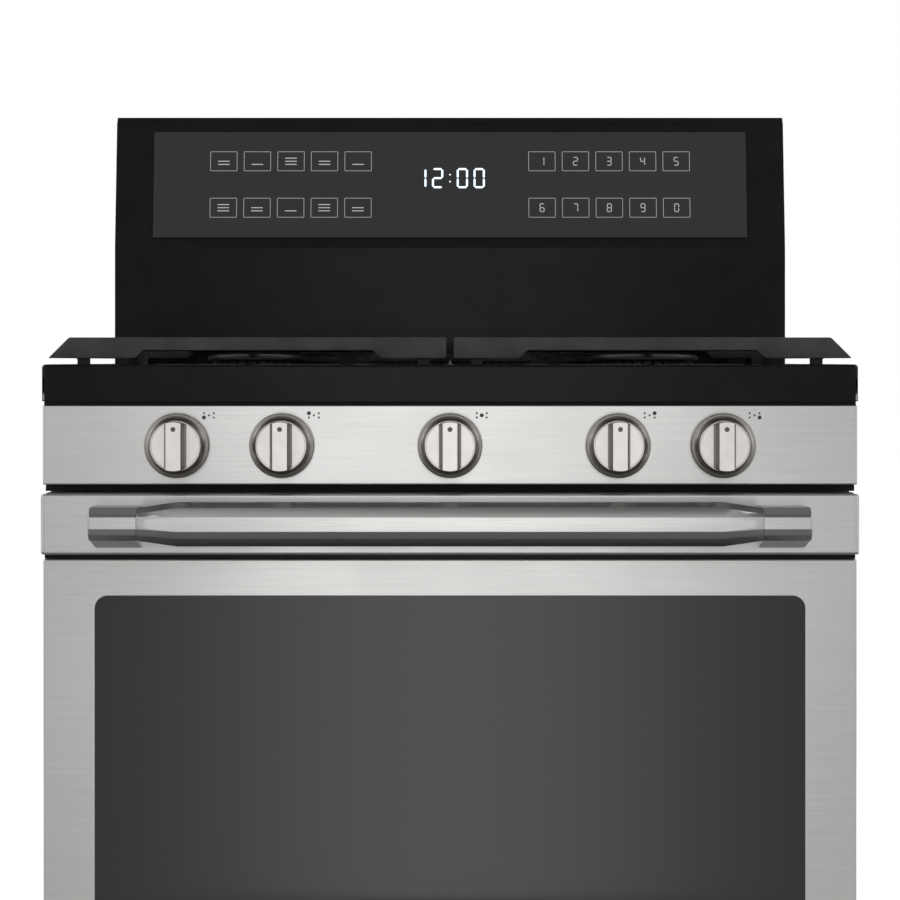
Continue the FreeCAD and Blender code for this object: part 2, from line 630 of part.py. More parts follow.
SEAT_Z = "top_high - basin_deep + seat_high"
GRATE_BAR = (
    ("grate_gap", "grate_low"), ("grate_gap + block_wide", "grate_low"),
    ("grate_gap + block_wide + arch_slope", "arch_low"),
    ("grate_reach - outer_block - arch_slope", "arch_low"),
    ("grate_reach - outer_block", "grate_low"), ("grate_reach", "grate_low"),
    ("grate_reach - end_slope", "grate_top"), ("grate_gap", "grate_top"),
)
GRATE_END = (
    ("grate_reach - 17", "grate_low"), ("grate_reach", "grate_low"),
    ("grate_reach - end_slope", "grate_top"), ("grate_reach - end_slope - bar_wide", "grate_top"),
)


def burners():
    """Aluminium heads with a ring of gas slots, the enamelled caps on them, and the spark pins."""
    heads, caps, pins = [], [], []
    for number, (x, y, cap, slots) in enumerate(ROUND_BURNERS):
        place = (x, y, SEAT_Z)
        head = Piece(f"burner_head_{number}", place, node=False)
        head.turned((
            ("7", "-throat_deep"), ("throat_radius", "-throat_deep"), ("throat_radius", "0"),
            (f"{cap} + flange_reach", "0"), (f"{cap} + flange_reach", "flange_high - 1"),
            (f"{cap} + flange_reach - 1", "flange_high"), (f"{cap} - crown_inset", "flange_high"),
            (f"{cap} - crown_inset", "crown_high"), (f"{cap} - crown_inset - 7", "crown_high"),
            (f"{cap} - crown_inset - 7", "flange_high"), ("7", "flange_high"),
        ))
        head.box((f"{cap} - crown_inset - 9", f"{cap} - crown_inset + 2"),
                 ("-slot_wide / 2", "slot_wide / 2"),
                 ("crown_high - slot_high", "crown_high + 1"), cut=True).ring(slots)
        heads.append(head)
        lid = Piece(f"burner_cap_{number}", place, node=False)
        lid.turned((
            ("0", "crown_high"), (f"{cap} - 2", "crown_high"), (cap, "crown_high + 1.5"),
            (cap, "crown_high + 3.5"), (f"{cap} - 3.5", "crown_high + cap_thick - 0.8"),
            (f"{cap} - 9", "crown_high + cap_thick"), ("0", "crown_high + cap_thick"),
        ))
        caps.append(lid)
        pins.append(spark_pin(number, (x, f"{y} + {cap} + flange_reach + 5", SEAT_Z)))
    heads.append(oval_head())
    caps.append(oval_cap())
    pins.append(spark_pin(len(ROUND_BURNERS), ("0", "oval_y + cap_oval + flange_reach + 5", SEAT_Z)))
    group("burner_heads", heads)
    group("burner_caps", caps)
    group("spark_electrodes", pins)


def spark_pin(number, place):
    pin = Piece(f"spark_pin_{number}", place, node=False)
    pin.rod("z", ("0", "8"), ("0", "0"), "3.4").round("1", z="max")
    pin.rod("z", ("8", "14"), ("0", "0"), "1")
    return pin


def stadium(piece, reach, half, span, cut=False):
    """A bar with round ends, in plan."""
    piece.box((f"-({reach})", reach), (f"-({half})", half), span, cut)
    for end in (f"-({reach})", reach):
        piece.rod("z", span, (end, "0"), half, cut)


def oval_head():
    head = Piece("burner_head_oval", ("0", "oval_y", SEAT_Z), node=False)
    head.rod("z", ("-throat_deep", "0"), ("0", "0"), "throat_radius")
    stadium(head, "oval_reach", "cap_oval + flange_reach", ("0", "flange_high"))
    stadium(head, "oval_reach", "cap_oval - crown_inset", ("0", "crown_high"))
    stadium(head, "oval_reach", "cap_oval - crown_inset - 6", ("flange_high", "crown_high + 1"), cut=True)
    head.box(("-oval_reach", "-oval_reach + slot_wide"), ("-cap_oval", "cap_oval"),
             ("crown_high - slot_high", "crown_high + 1"), cut=True)
    head.repeat("x", "2 * oval_reach - slot_wide", 15)
    head.rod("z", ("-throat_deep - 1", "flange_high + 1"), ("0", "0"), "7", cut=True)
    return head


def oval_cap():
    lid = Piece("burner_cap_oval", ("0", "oval_y", SEAT_Z), node=False)
    stadium(lid, "oval_reach", "cap_oval", ("crown_high", "crown_high + cap_thick"))
    lid.round("3", z="max")
    return lid


def grates():
    """Two cast grates that meet in the middle, each the other's mirror image. The front and rear bars
    are arched between feet and slope at their outer ends, and fingers reach in over each burner."""
    grate = Piece("grate_right")
    grate.prism("XZ", GRATE_BAR, ("grate_front", "grate_front + bar_wide"))
    grate.prism("XZ", GRATE_BAR, ("grate_back - bar_wide", "grate_back"))
    grate.prism("XZ", GRATE_END, ("grate_front", "grate_back"))
    bar = ("arch_low", "grate_top")
    whole = ("grate_front", "grate_back")
    middle = "(burner_front_y + burner_rear_y) / 2"
    inner, outer = "grate_gap", "grate_reach - end_slope - 2"
    grate.box((inner, "grate_gap + bar_wide"), whole, bar)
    grate.box((inner, outer), (f"{middle} - bar_wide / 2", f"{middle} + bar_wide / 2"), bar)
    finger = ("finger_low", "grate_top")
    thin = "finger_wide / 2"
    across = ("burner_x - " + thin, "burner_x + " + thin)
    for burner, front, back in (("burner_front_y", whole[0], middle), ("burner_rear_y", middle, whole[1])):
        along = (f"{burner} - {thin}", f"{burner} + {thin}")
        grate.box(across, (front, f"{burner} - finger_stop"), finger)
        grate.box(across, (f"{burner} + finger_stop", back), finger)
        grate.box((inner, "burner_x - finger_stop"), along, finger)
        grate.box(("burner_x + finger_stop", outer), along, finger)
    for x in ("burner_x - 92", "burner_x + 92"):
        grate.box((f"{x} - {thin}", f"{x} + {thin}"), whole, finger)
    front_foot, rear_foot = "grate_front + 8", "grate_back - 8 - foot_wide"
    for x, y in (("25", front_foot), ("25", rear_foot), ("foot_x", front_foot), ("foot_x - 8", middle),
                 ("foot_x", rear_foot)):
        grate.box((f"{x} - foot_wide / 2", f"{x} + foot_wide / 2"), (y, f"{y} + foot_wide"),
                  ("top_high - basin_deep + 0.2", "arch_low + 2"))
    twin = doc.addObject("Part::Mirroring", "grate_left")
    twin.Label = "grate_left"
    twin.Source = grate.body
    twin.Normal = (1, 0, 0)
    nodes.append(twin)


# ---- gas supply and knobs ------------------------------------------------------------------

def control_panel():
    """The folded stainless front under the cooktop, pierced for the valve stems."""
    panel = Piece("control_panel")
    panel.box(("-body_wide / 2", "body_wide / 2"), ("body_front", "panel_back"), ("panel_low", "panel_high"))
    panel.round("1.6", along="z", y="min")
    panel.round("1.6", along="x", y="min")
    panel.box(("-body_wide / 2 + gauge", "body_wide / 2 - gauge"), ("body_front + gauge", past("panel_back")),
              ("panel_low + gauge", "panel_high - gauge"), cut=True)
    for _, x in KNOB_PLACES:
        panel.rod("y", through("body_front"), (x, "knob_z"), "stem_hole", cut=True)


def burner_valves():
    """A tap for each burner, saddled on the manifold, with a bore that its stem turns and slides in."""
    valves = []
    for name, x in KNOB_PLACES:
        valve = Piece(f"burner_valve_{name}", (x, "0", "knob_z"), node=False)
        valve.box(("-valve_half", "valve_half"), ("valve_front", "pipe_y"), ("-valve_half", "valve_half"))
        valve.bevel("3", along="y")
        valve.rod("y", ("neck_front", "valve_front"), ("0", "0"), "neck_radius")
        valve.rod("y", ("neck_front - 1", "bore_end"), ("0", "0"), "stem_radius + stem_clearance", cut=True)
        valve.rod("x", ("-valve_half - 1", "valve_half + 1"), ("pipe_y", "0"), "pipe_radius + 0.05", cut=True)
        valve.rod("z", ("valve_half", "valve_half + 4"), ("0", "tube_y"), "6")
        valves.append(valve)
    group("burner_valves", valves)


def gas_supply():
    """The rail pipe that feeds the taps, with its riser down the back, and the regulator at its foot."""
    reach, y, z = size_of("pipe_reach"), size_of("pipe_y"), size_of("knob_z")
    feed_y, foot = size_of("feed_y"), size_of("inlet_z") + size_of("regulator_high") / 2
    route = [point(-reach, y, z), point(reach, y, z), point(reach, feed_y, z),
             point(reach, feed_y, foot + 14)]
    pipe = bent_rod(route, size_of("pipe_radius"), 26)
    body = Part.makeCylinder(size_of("regulator_radius"), size_of("regulator_high"),
                             point(reach, feed_y, foot - size_of("regulator_high")))
    body = body.makeFillet(5, [edge for edge in body.Edges if edge.Closed])
    nut = Part.makeCylinder(15, 16, point(reach, feed_y, foot - 1))
    dome = Part.makeCone(17, 11, 12, point(reach, feed_y, foot - size_of("regulator_high") + 1),
                         point(0, 0, -1))
    stub, rearward = point(reach, feed_y, size_of("inlet_z")), point(0, 1, 0)
    collar = Part.makeCylinder(size_of("collar_radius"), size_of("inlet_root") - feed_y, stub, rearward)
    inlet = Part.makeCylinder(size_of("inlet_radius"), size_of("inlet_tip") - feed_y, stub, rearward)
    bore = Part.makeCylinder(7, size_of("inlet_tip") - feed_y + 1, stub + rearward * 8, rearward)
    regulator = body.multiFuse([nut, dome, collar, inlet]).cut(bore)
    part_feature("gas_manifold", pipe.cut(nut))
    part_feature("pressure_regulator", regulator.removeSplitter())


def burner_tubes():
    """An aluminium tube from each tap to its burner."""
    front_y, rear_y = size_of("burner_front_y"), size_of("burner_rear_y")
    across, centre = size_of("burner_x"), size_of("oval_y")
    inner, outer = size_of("knob_inner"), size_of("knob_outer")
    front, level = size_of("tube_y"), size_of("tube_z")
    start = size_of("knob_z") + size_of("valve_half") + 4.1
    end = size_of("top_high") - size_of("basin_deep") + size_of("seat_high") - size_of("throat_deep") - 0.5
    runs = ((-outer, -across, front_y), (-inner, -across, rear_y), (0, 0, centre),
            (inner, across, rear_y), (outer, across, front_y))
    tubes = []
    for knob_x, burner_x, burner_y in runs:
        route = [point(knob_x, front, start), point(knob_x, front, level), point(burner_x, burner_y, level),
                 point(burner_x, burner_y, end)]
        tubes.append(bent_rod(route, size_of("tube_radius"), 7))
    part_feature("burner_tubes", Part.makeCompound(tubes))


def knobs():
    """A push-to-turn knob on each valve stem: a tapered skirt, a flat face, and a drafted grip whose
    ends follow the face's round."""
    for name, x in KNOB_PLACES:
        stem = Piece(f"valve_stem_{name}")
        stem.rod("y", ("stem_tip", "stem_root"), (x, "knob_z"), "stem_radius").bevel("0.6", y="min")
        knob = Piece(f"knob_{name}", (x, "body_front - knob_gap", "knob_z"))
        knob.turned((
            ("0", "0"), ("skirt_radius - 0.6", "0"), ("skirt_radius", "-0.6"), ("skirt_radius", "-3.4"),
            ("skirt_radius - 1.4", "-5.4"), ("face_radius + 0.9", "-knob_deep + 0.7"),
            ("face_radius", "-knob_deep"), ("0", "-knob_deep"),
        ), plane="XY")
        knob.rod("y", ("-grip_deep", "-knob_deep"), ("0", "0"), "face_radius - 0.3")
        for _, side in SIDES:
            knob.prism("XY", (
                (f"{side} * grip_base", "-knob_deep"), (f"{side} * grip_tip", "-grip_deep - 1"),
                (f"{side} * skirt_radius", "-grip_deep - 1"), (f"{side} * skirt_radius", "-knob_deep"),
            ), ("-skirt_radius", "skirt_radius"), cut=True)
        knob.round("1.4", y="min")
        knob.rod("y", ("-grip_deep - 1", "-grip_deep + 0.5"), ("0", "dot_up"), "dot_radius", cut=True)
        knob.rod("y", ("bore_tip - body_front + knob_gap", "1"), ("0", "0"),
                 "stem_radius + stem_clearance", cut=True)


# ---- backguard -----------------------------------------------------------------------------

def fascia_y(height, out="0"):
    """How far back the leaning fascia is at a height, less a distance that stands out from it."""
    return f"guard_front + fascia_lean * ({height} - fascia_low) / (fascia_high - fascia_low) - ({out})"


def backguard():
    """A folded shell with a leaning fascia, closed by plates at the ends and a cover at the back."""
    shell = Piece("backguard_shell")
    back = "guard_back - gauge"
    outer = (("guard_front", "guard_low"), ("guard_front", "fascia_low"),
             ("guard_front + fascia_lean", "fascia_high"),
             ("guard_front + fascia_lean + crown_slope", "total_high"), (back, "total_high"),
             (back, "guard_low"))
    shell.prism("YZ", outer, ("-guard_half + cap_wall", "guard_half - cap_wall"))
    shell.round("3", along="x", y=(size_of("guard_front"), 340))
    inner = (("guard_front + gauge", "guard_low - 5"), ("guard_front + gauge", "fascia_low"),
             ("guard_front + fascia_lean + gauge + 0.6", "fascia_high - 1"),
             ("guard_front + fascia_lean + crown_slope + 1.2", "total_high - 1.6"),
             ("body_rear + 5", "total_high - 1.6"), ("body_rear + 5", "guard_low - 5"))
    shell.prism("YZ", inner, ("-guard_half", "guard_half"), cut=True)
    for rise in ("0", "9"):
        shell.box(("-louvre_half", "-louvre_half + louvre_long"), ("guard_front - 5", "guard_front + 5"),
                  (f"louvre_low + {rise}", f"louvre_high + {rise}"), cut=True)
        shell.repeat("x", "2 * louvre_half - louvre_long", 6)
    rear = Piece("backguard_rear_cover")
    rear.box(("-guard_half + cap_wall + 1", "guard_half - cap_wall - 1"), (back, "guard_back"),
             ("guard_low + 2", "total_high - 3"))
    for x, z, face in screw_places():
        if face == "guard_back":
            rear.rod("y", ("guard_back - 5", "guard_back + 5"), (x, z), "screw_hole", cut=True)
    caps = []
    for name, side in SIDES:
        cap = Piece(f"backguard_cap_{name}", node=False)
        whole = outer[:4] + (("guard_back", "total_high"), ("guard_back", "guard_low"))
        cap.prism("YZ", whole, sided(side, "guard_half - cap_wall", "guard_half"))
        cap.round("3", along="x", y=(size_of("guard_front"), 340))
        caps.append(cap)
    group("backguard_end_caps", caps)


def oven_control():
    """The glass touch panel on the fascia, and the circuit board behind it."""
    glass = Piece("control_glass")
    glass.prism("YZ", (
        (fascia_y("glass_low", "0.3"), "glass_low"), (fascia_y("glass_high", "0.3"), "glass_high"),
        (fascia_y("glass_high", "0.3 + fascia_glass"), "glass_high + 0.4"),
        (fascia_y("glass_low", "0.3 + fascia_glass"), "glass_low + 0.4"),
    ), ("-glass_half", "glass_half"))
    board = Piece("control_board")
    board.box(("-130", "130"), ("334", "335.6"), ("1062", "1164"))
    board.box(("-60", "60"), ("326", "334"), ("1096", "1130"))
    board.box(("70", "110"), ("335.6", "356"), ("1074", "1110"))


# ---- door ----------------------------------------------------------------------------------

def door_skin():
    """The stainless outer skin, with the window's opening and slots for the hinge arms."""
    skin = Piece("door_outer_skin")
    skin.box(("-skin_half", "skin_half"), ("body_front", "skin_back"), ("door_low", "skin_high"))
    skin.round("6", along="x", y="min", z="min")
    skin.round("2", along="x", y="min", z="max")
    skin.round("2", along="z", y="min")
    skin.box(("-skin_half + door_gauge", "skin_half - door_gauge"),
             ("body_front + door_gauge", past("skin_back")),
             ("door_low + door_gauge", "skin_high - door_gauge"), cut=True)
    skin.box(("-window_half", "window_half"), through("body_front"),
             ("window_low", "window_high"), cut=True)
    skin.round("window_round", along="y", x=(-size_of("window_half"), size_of("window_half")),
               z=(size_of("window_low"), size_of("window_high")))
    skin.round("0.9", y="min", x=(-size_of("window_half"), size_of("window_half")),
               z=(size_of("window_low"), size_of("window_high")))
    for _, side in SIDES:
        skin.box(sided(side, "hinge_x - hinge_slot", "hinge_x + hinge_slot"),
                 ("hinge_y - 15", past("skin_back")),
                 through("door_low"), cut=True)


def door_rail():
    """The proud stainless rail that the handle is fixed to, and the black strip under it."""
    rail = Piece("door_top_rail")
    front = "body_front - rail_proud"
    rail.box(("-rail_half", "rail_half"), (front, "rail_depth_back"), ("rail_low_z", "rail_high_z"))
    rail.round("4", along="z", y="min")
    rail.round("2.5", along="x", y="min")
    rail.box(("-rail_half + 4", "rail_half - 4"), (f"{front} + 4", past("rail_depth_back")),
             ("rail_low_z + 3", "rail_high_z - 3"), cut=True)
    strip = Piece("door_reveal_strip")
    strip.box(("-skin_half + 0.5", "skin_half - 0.5"), ("body_front + 7", "skin_back"),
              ("skin_high", "rail_low_z"))


def door_inside():
    """The enamelled inner tray, its glass, the wool between the shells and the outer pane."""
    liner = Piece("door_inner_liner")
    liner.box(("-liner_half", "liner_half"), ("liner_front", "door_back"), ("door_low + 2", "liner_top"))
    liner.round("3", along="x", y="max")
    liner.round("3", along="z", y="max")
    liner.box(("-liner_half + gauge", "liner_half - gauge"), (past("liner_front", -1), "door_back - 2"),
              ("door_low + 2 + gauge", "liner_top - gauge"), cut=True)
    liner.box(("-view_half", "view_half"), through("door_back"),
              ("view_low", "view_high"), cut=True)
    liner.round("16", along="y", x=(-size_of("view_half"), size_of("view_half")),
                z=(size_of("view_low"), size_of("view_high")))
    for _, side in SIDES:
        liner.box(sided(side, "hinge_x - hinge_slot", "hinge_x + hinge_slot"),
                  (past("liner_front", -1), past("door_back")),
                  (past("door_low", -1), "hinge_z + 22"), cut=True)
    outer = Piece("door_window_glass")
    outer.box(("-window_half - pane_margin", "window_half + pane_margin"),
              ("body_front + door_gauge + 0.1", "body_front + door_gauge + 0.1 + glass_thick"),
              ("window_low - pane_margin", "window_high + pane_margin"))
    inner = Piece("door_inner_glass")
    inner.box(("-view_half - pane_margin", "view_half + pane_margin"),
              ("door_back - 2.2 - glass_thick", "door_back - 2.2"),
              ("view_low - pane_margin", "view_high + pane_margin"))
    wool = Piece("door_insulation")
    wool.box(("-360", "360"), ("-282", "skin_back - 0.5"), ("channel_top + 3", "skin_high - door_gauge - 3"))
    wool.box(("-view_half - 30", "view_half + 30"), ("-290", "-250"), ("view_low - 25", "view_high + 25"),
             cut=True)


def door_hinges():
    """A channel with a pivot pin in the door, and an arm on the chassis that the pin turns in."""
    channels, arms = [], []
    for name, side in SIDES:
        channel = Piece(f"hinge_channel_{name}", (f"{side} * hinge_x", "0", "0"), node=False)
        rise = ("channel_low", "channel_top")
        for cheek in (("cheek_in", "cheek_out"), ("-cheek_out", "-cheek_in")):
            channel.box(cheek, ("channel_front", "liner_front - 0.4"), rise)
        channel.box(("-cheek_out", "cheek_out"), ("channel_front", "channel_front + 2.5"), rise)
        channel.rod("x", ("-cheek_out", "cheek_out"), ("hinge_y", "hinge_z"), "pin_radius")
        channels.append(channel)
        arm = Piece(f"hinge_arm_{name}", (f"{side} * hinge_x", "0", "0"), node=False)
        thick = ("-arm_half", "arm_half")
        arm.rod("x", thick, ("hinge_y", "hinge_z"), "arm_nose")
        arm.box(thick, ("hinge_y", "arm_back"), ("hinge_z - arm_nose", "hinge_z + arm_nose"))
        arm.rod("x", ("-arm_half - 1", "arm_half + 1"), ("hinge_y", "hinge_z"), "pin_radius + 0.06", cut=True)
        arm.box(("-16", "16"), ("step_back + gauge + 0.3", "arm_back"),
                ("hinge_z - 30", "hinge_z - arm_nose"))
        arms.append(arm)
    group("hinge_channels", channels)
    group("hinge_arms", arms)


def handle():
    """A bar between two brackets whose feet spread down on to the rail. It is faceted at its ends and
    swells into a taller, rounder grasp between them."""
    front, back, z = "handle_front", "handle_back", "handle_z"
    nose = [(f"{front} + 8", f"{z} - 15"), (f"{front} + 1.5", f"{z} - 9.5"), (front, f"{z} - 4"),
            (front, f"{z} + 6.5"), (f"{front} + 2.5", f"{z} + 10"), (f"{front} + 9", f"{z} + 15")]
    rear = [(f"{back} - 5", f"{z} + 14"), (back, f"{z} + 8"), (back, f"{z} - 7"),
            (f"{back} - 6", f"{z} - 14")]
    grasp = [(f"{front} + 13", f"{z} - 20.5"), (f"{front} + 3", f"{z} - 12.5"), (front, f"{z} - 6.5"),
             (front, f"{z} + 6.5"), (f"{front} + 3.5", f"{z} + 15"), (f"{front} + 13", f"{z} + 20"),
             (f"{back} - 4", f"{z} + 19"), (back, f"{z} + 13"), (back, f"{z} - 12"),
             (f"{back} - 5", f"{z} - 20")]
    bar = Piece("handle_bar")
    bar.loft("YZ", (
        ("-bar_half + 0.2", nose + rear), ("-grasp_half", grasp), ("grasp_half", grasp),
        ("bar_half - 0.2", nose + rear),
    ))
    face = "body_front - rail_proud"
    brackets = []
    for name, side in SIDES:
        bracket = Piece(f"handle_bracket_{name}", node=False)
        foot = [(f"{back} - 6", f"{z} + 15.5"), (face, f"{z} + 15"), (face, f"{z} - 24"),
                (f"{face} - 6", f"{z} - 24"), (f"{back} - 2", f"{z} - 17")]
        bracket.prism("YZ", nose + foot, sided(side, "bar_half", "handle_half"))
        bracket.round("1.6", along="x", y=(-367, -340))
        bracket.round("2.4", x="min" if side == LEFT else "max")
        brackets.append(bracket)
    group("handle_brackets", brackets)


# ---- drawer --------------------------------------------------------------------------------

def drawer():
    """A stainless front with a pressed finger pull, a steel box behind it, runners and guides."""
    front = Piece("drawer_front")
    face = ("body_front", "drawer_back")
    front.box(("-skin_half", "skin_half"), face, ("drawer_low", "drawer_high"))
    front.round("2", along="z", y="min")
    front.round("2", along="x", y="min")
    front.box(("-skin_half + pull_wall", "skin_half - pull_wall"),
              ("body_front + pull_wall", past("drawer_back")),
              ("drawer_low + pull_wall", "drawer_high - pull_wall"), cut=True)
    cup = "body_front + pull_deep"
    front.box(("-pull_half - pull_wall", "pull_half + pull_wall"),
              ("body_front + pull_wall", f"{cup} + pull_wall"),
              ("pull_low - pull_wall", "pull_high + pull_wall"))
    front.box(("-pull_half", "pull_half"), (past("body_front", -1), cup), ("pull_low", "pull_high"), cut=True)
    front.round("5", along="y", x=(-size_of("pull_half"), size_of("pull_half")),
                z=(size_of("pull_low"), size_of("pull_high")))
    front.round("1.2", y="min", x=(-size_of("pull_half"), size_of("pull_half")),
                z=(size_of("pull_low"), size_of("pull_high")))
    box = Piece("drawer_box")
    box.box(("-box_half", "box_half"), ("drawer_back", "box_back"), ("box_low", "box_high"))
    box.round("6", along="z", y="max")
    box.box(("-box_half + gauge", "box_half - gauge"), ("drawer_back + gauge", "box_back - gauge"),
            ("box_low + gauge", past("box_high")), cut=True)
    runners, guides = [], []
    for name, side in SIDES:
        runner = Piece(f"drawer_runner_{name}", node=False)
        runner.box(sided(side, "box_half", "box_half + runner_wide"), ("drawer_back + 4", "box_back - 6"),
                   ("runner_low", "runner_high"))
        runner.box(sided(side, "box_half + 2", "box_half + runner_wide + 1"),
                   ("drawer_back + 3", "box_back - 5"),
                   ("runner_low + 3", "runner_high - 3"), cut=True)
        runners.append(runner)
        guide = Piece(f"drawer_guide_{name}", node=False)
        guide.box(sided(side, "rail_inner - 4", "rail_inner"), ("rail_front", "box_back + 10"),
                  ("rail_high", "guide_high"))
        guide.box(sided(side, "box_half + 2", "rail_inner - 4"), ("rail_front", "box_back + 10"),
                  ("guide_low", "runner_low - 0.4"))
        guide.box(sided(side, "rail_inner", "rail_outer - 16"), ("rail_front", "box_back + 10"),
                  ("rail_high", "rail_high + 1.5"))
        guide.rod("z", ("rail_high - 1", "rail_high + 4"), (f"{side} * leg_x", "leg_front_y"), "leg_bore + 1",
                  cut=True)
        guides.append(guide)
    group("drawer_runners", runners)
    group("drawer_guides", guides)


def build():
    base_frame()
    levelling_legs()
    side_panels()
    rear_panel()
    rear_screws()
    power_inlet()
    front_frame()
    oven_shield()
    burner_box_floor()
    oven_liner()
    oven_insulation()
    oven_floor_panel()
    oven_burners()
    oven_lamp()
    temperature_sensor()
    oven_gasket()
    oven_racks()
    cooktop()
    burners()
    grates()
    control_panel()
    burner_valves()
    gas_supply()
    burner_tubes()
    knobs()
    backguard()
    oven_control()
    door_skin()
    door_rail()
    door_inside()
    door_hinges()
    handle()
    drawer()


def write():
    """Stops at anything that failed, then writes each node's STEP."""
    doc.recompute()
    for thing in doc.Objects:
        if {"Invalid", "Error"} & set(thing.State):
            raise ValueError(f"{thing.Label} failed: {thing.State}")
    os.makedirs("parts", exist_ok=True)
    for old in os.listdir("parts"):
        os.remove(os.path.join("parts", old))
    for node in nodes:
        shape = node.Shape
        if shape.isNull() or not shape.isValid() or not shape.Solids:
            raise ValueError(f"{node.Label} has no sound shape")
        shape.exportStep(f"parts/{node.Label}.step")
    print(f"{len(nodes)} nodes")


build()
write()
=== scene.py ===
import json
import math

import bmesh
import bpy
from mathutils import Matrix, Vector


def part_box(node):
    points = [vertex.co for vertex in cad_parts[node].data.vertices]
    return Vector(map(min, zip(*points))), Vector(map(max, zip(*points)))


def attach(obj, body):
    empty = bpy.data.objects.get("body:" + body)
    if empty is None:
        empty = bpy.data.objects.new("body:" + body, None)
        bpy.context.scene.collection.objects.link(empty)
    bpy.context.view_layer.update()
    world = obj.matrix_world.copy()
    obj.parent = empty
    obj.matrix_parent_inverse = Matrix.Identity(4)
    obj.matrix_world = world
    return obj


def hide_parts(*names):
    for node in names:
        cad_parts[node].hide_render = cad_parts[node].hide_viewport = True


# The looks of a freestanding gas range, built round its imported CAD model. Metres throughout.
# The object's sides: +X is the user's right, -Y is towards the user, +Z is up.

MM = 0.001
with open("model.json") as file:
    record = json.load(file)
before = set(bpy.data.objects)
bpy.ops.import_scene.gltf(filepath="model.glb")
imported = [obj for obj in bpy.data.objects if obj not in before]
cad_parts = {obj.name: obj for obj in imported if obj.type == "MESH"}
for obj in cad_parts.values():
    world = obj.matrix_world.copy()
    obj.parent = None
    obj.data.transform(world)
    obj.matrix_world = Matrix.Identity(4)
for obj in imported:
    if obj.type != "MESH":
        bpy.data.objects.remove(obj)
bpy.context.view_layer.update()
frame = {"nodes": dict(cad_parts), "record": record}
nodes = frame["nodes"]


# ---- mesh helpers --------------------------------------------------------------------------

def mark_corners(bm, angle):
    """Edges that turn by more than angle degrees stay crisp under smooth shading."""
    for edge in bm.edges:
        edge.smooth = not (edge.is_manifold and edge.calc_face_angle(0) > math.radians(angle))


def new_object(name, bm, material):
    """An object from a bmesh, shaded smooth except at its corners."""
    mesh = bpy.data.meshes.new(name)
    bm.normal_update()
    mark_corners(bm, 35)
    for face in bm.faces:
        face.smooth = True
    bm.to_mesh(mesh)
    bm.free()
    made = bpy.data.objects.new(name, mesh)
    bpy.context.scene.collection.objects.link(made)
    mesh.materials.append(material)
    return made


def add_box(bm, low, high):
    """A box between two corners, added to a bmesh."""
    corners = bmesh.ops.create_cube(bm, size=1)["verts"]
    low, high = Vector(low), Vector(high)
    for corner in corners:
        corner.co = Vector(low[i] + (high[i] - low[i]) * (corner.co[i] + 0.5) for i in range(3))


def add_lathe(bm, profile, place, facing, steps=64):
    """A solid of revolution: profile is (radius, height) pairs, raised from place along facing."""
    turn = Vector((0, 0, 1)).rotation_difference(Vector(facing)).to_matrix().to_4x4()
    seat = Matrix.Translation(place) @ turn
    rings = []
    for radius, height in profile:
        if radius < 1e-6:
            rings.append([bm.verts.new(seat @ Vector((0, 0, height)))])
            continue
        rings.append([
            bm.verts.new(seat @ Vector((radius * math.cos(a), radius * math.sin(a), height)))
            for a in (2 * math.pi * n / steps for n in range(steps))
        ])
    for below, above in zip(rings, rings[1:]):
        for n in range(max(len(below), len(above))):
            after = (n + 1) % max(len(below), len(above))
            loop = [below[n % len(below)], below[after % len(below)], above[after % len(above)],
                    above[n % len(above)]]
            loop = [v for i, v in enumerate(loop) if v not in loop[:i]]
            if len(loop) > 2:
                bm.faces.new(loop)


def add_prism(bm, outline, axis, low, high):
    """A prism of a flat outline, carried along an axis (0, 1 or 2) from low to high."""
    def corner(pair, along):
        place = list(pair)
        place.insert(axis, along)
        return Vector(place)
    ends = [[bm.verts.new(corner(pair, along)) for pair in outline] for along in (low, high)]
    count = len(outline)
    for n in range(count):
        bm.faces.new([ends[0][n], ends[0][(n + 1) % count], ends[1][(n + 1) % count], ends[1][n]])
    bm.faces.new(list(reversed(ends[0])))
    bm.faces.new(ends[1])
    bmesh.ops.recalc_face_normals(bm, faces=bm.faces)


def bevel(thing, width, segments=3, angle=30):
    """Rounds a piece's edges. The weld first joins what an importer split."""
    weld = thing.modifiers.new("Weld", "WELD")
    weld.merge_threshold = 0.00001
    edge = thing.modifiers.new("Bevel", "BEVEL")
    edge.width = width
    edge.segments = segments
    edge.limit_method = "ANGLE"
    edge.angle_limit = math.radians(angle)
    edge.harden_normals = True
    return thing


def finish_piece(thing, body, replaced=()):
    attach(thing, body)
    if replaced:
        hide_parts(*replaced)
    return thing


def soften(name):
    """Smooth shading for a CAD node, with its corners crisp and its flat faces flat."""
    mesh = nodes[name].data
    mesh.shade_smooth()
    bm = bmesh.new()
    bm.from_mesh(mesh)
    mark_corners(bm, 32)
    bm.to_mesh(mesh)
    bm.free()
    even = nodes[name].modifiers.new("Even", "WEIGHTED_NORMAL")
    even.keep_sharp = True


# ---- materials -----------------------------------------------------------------------------

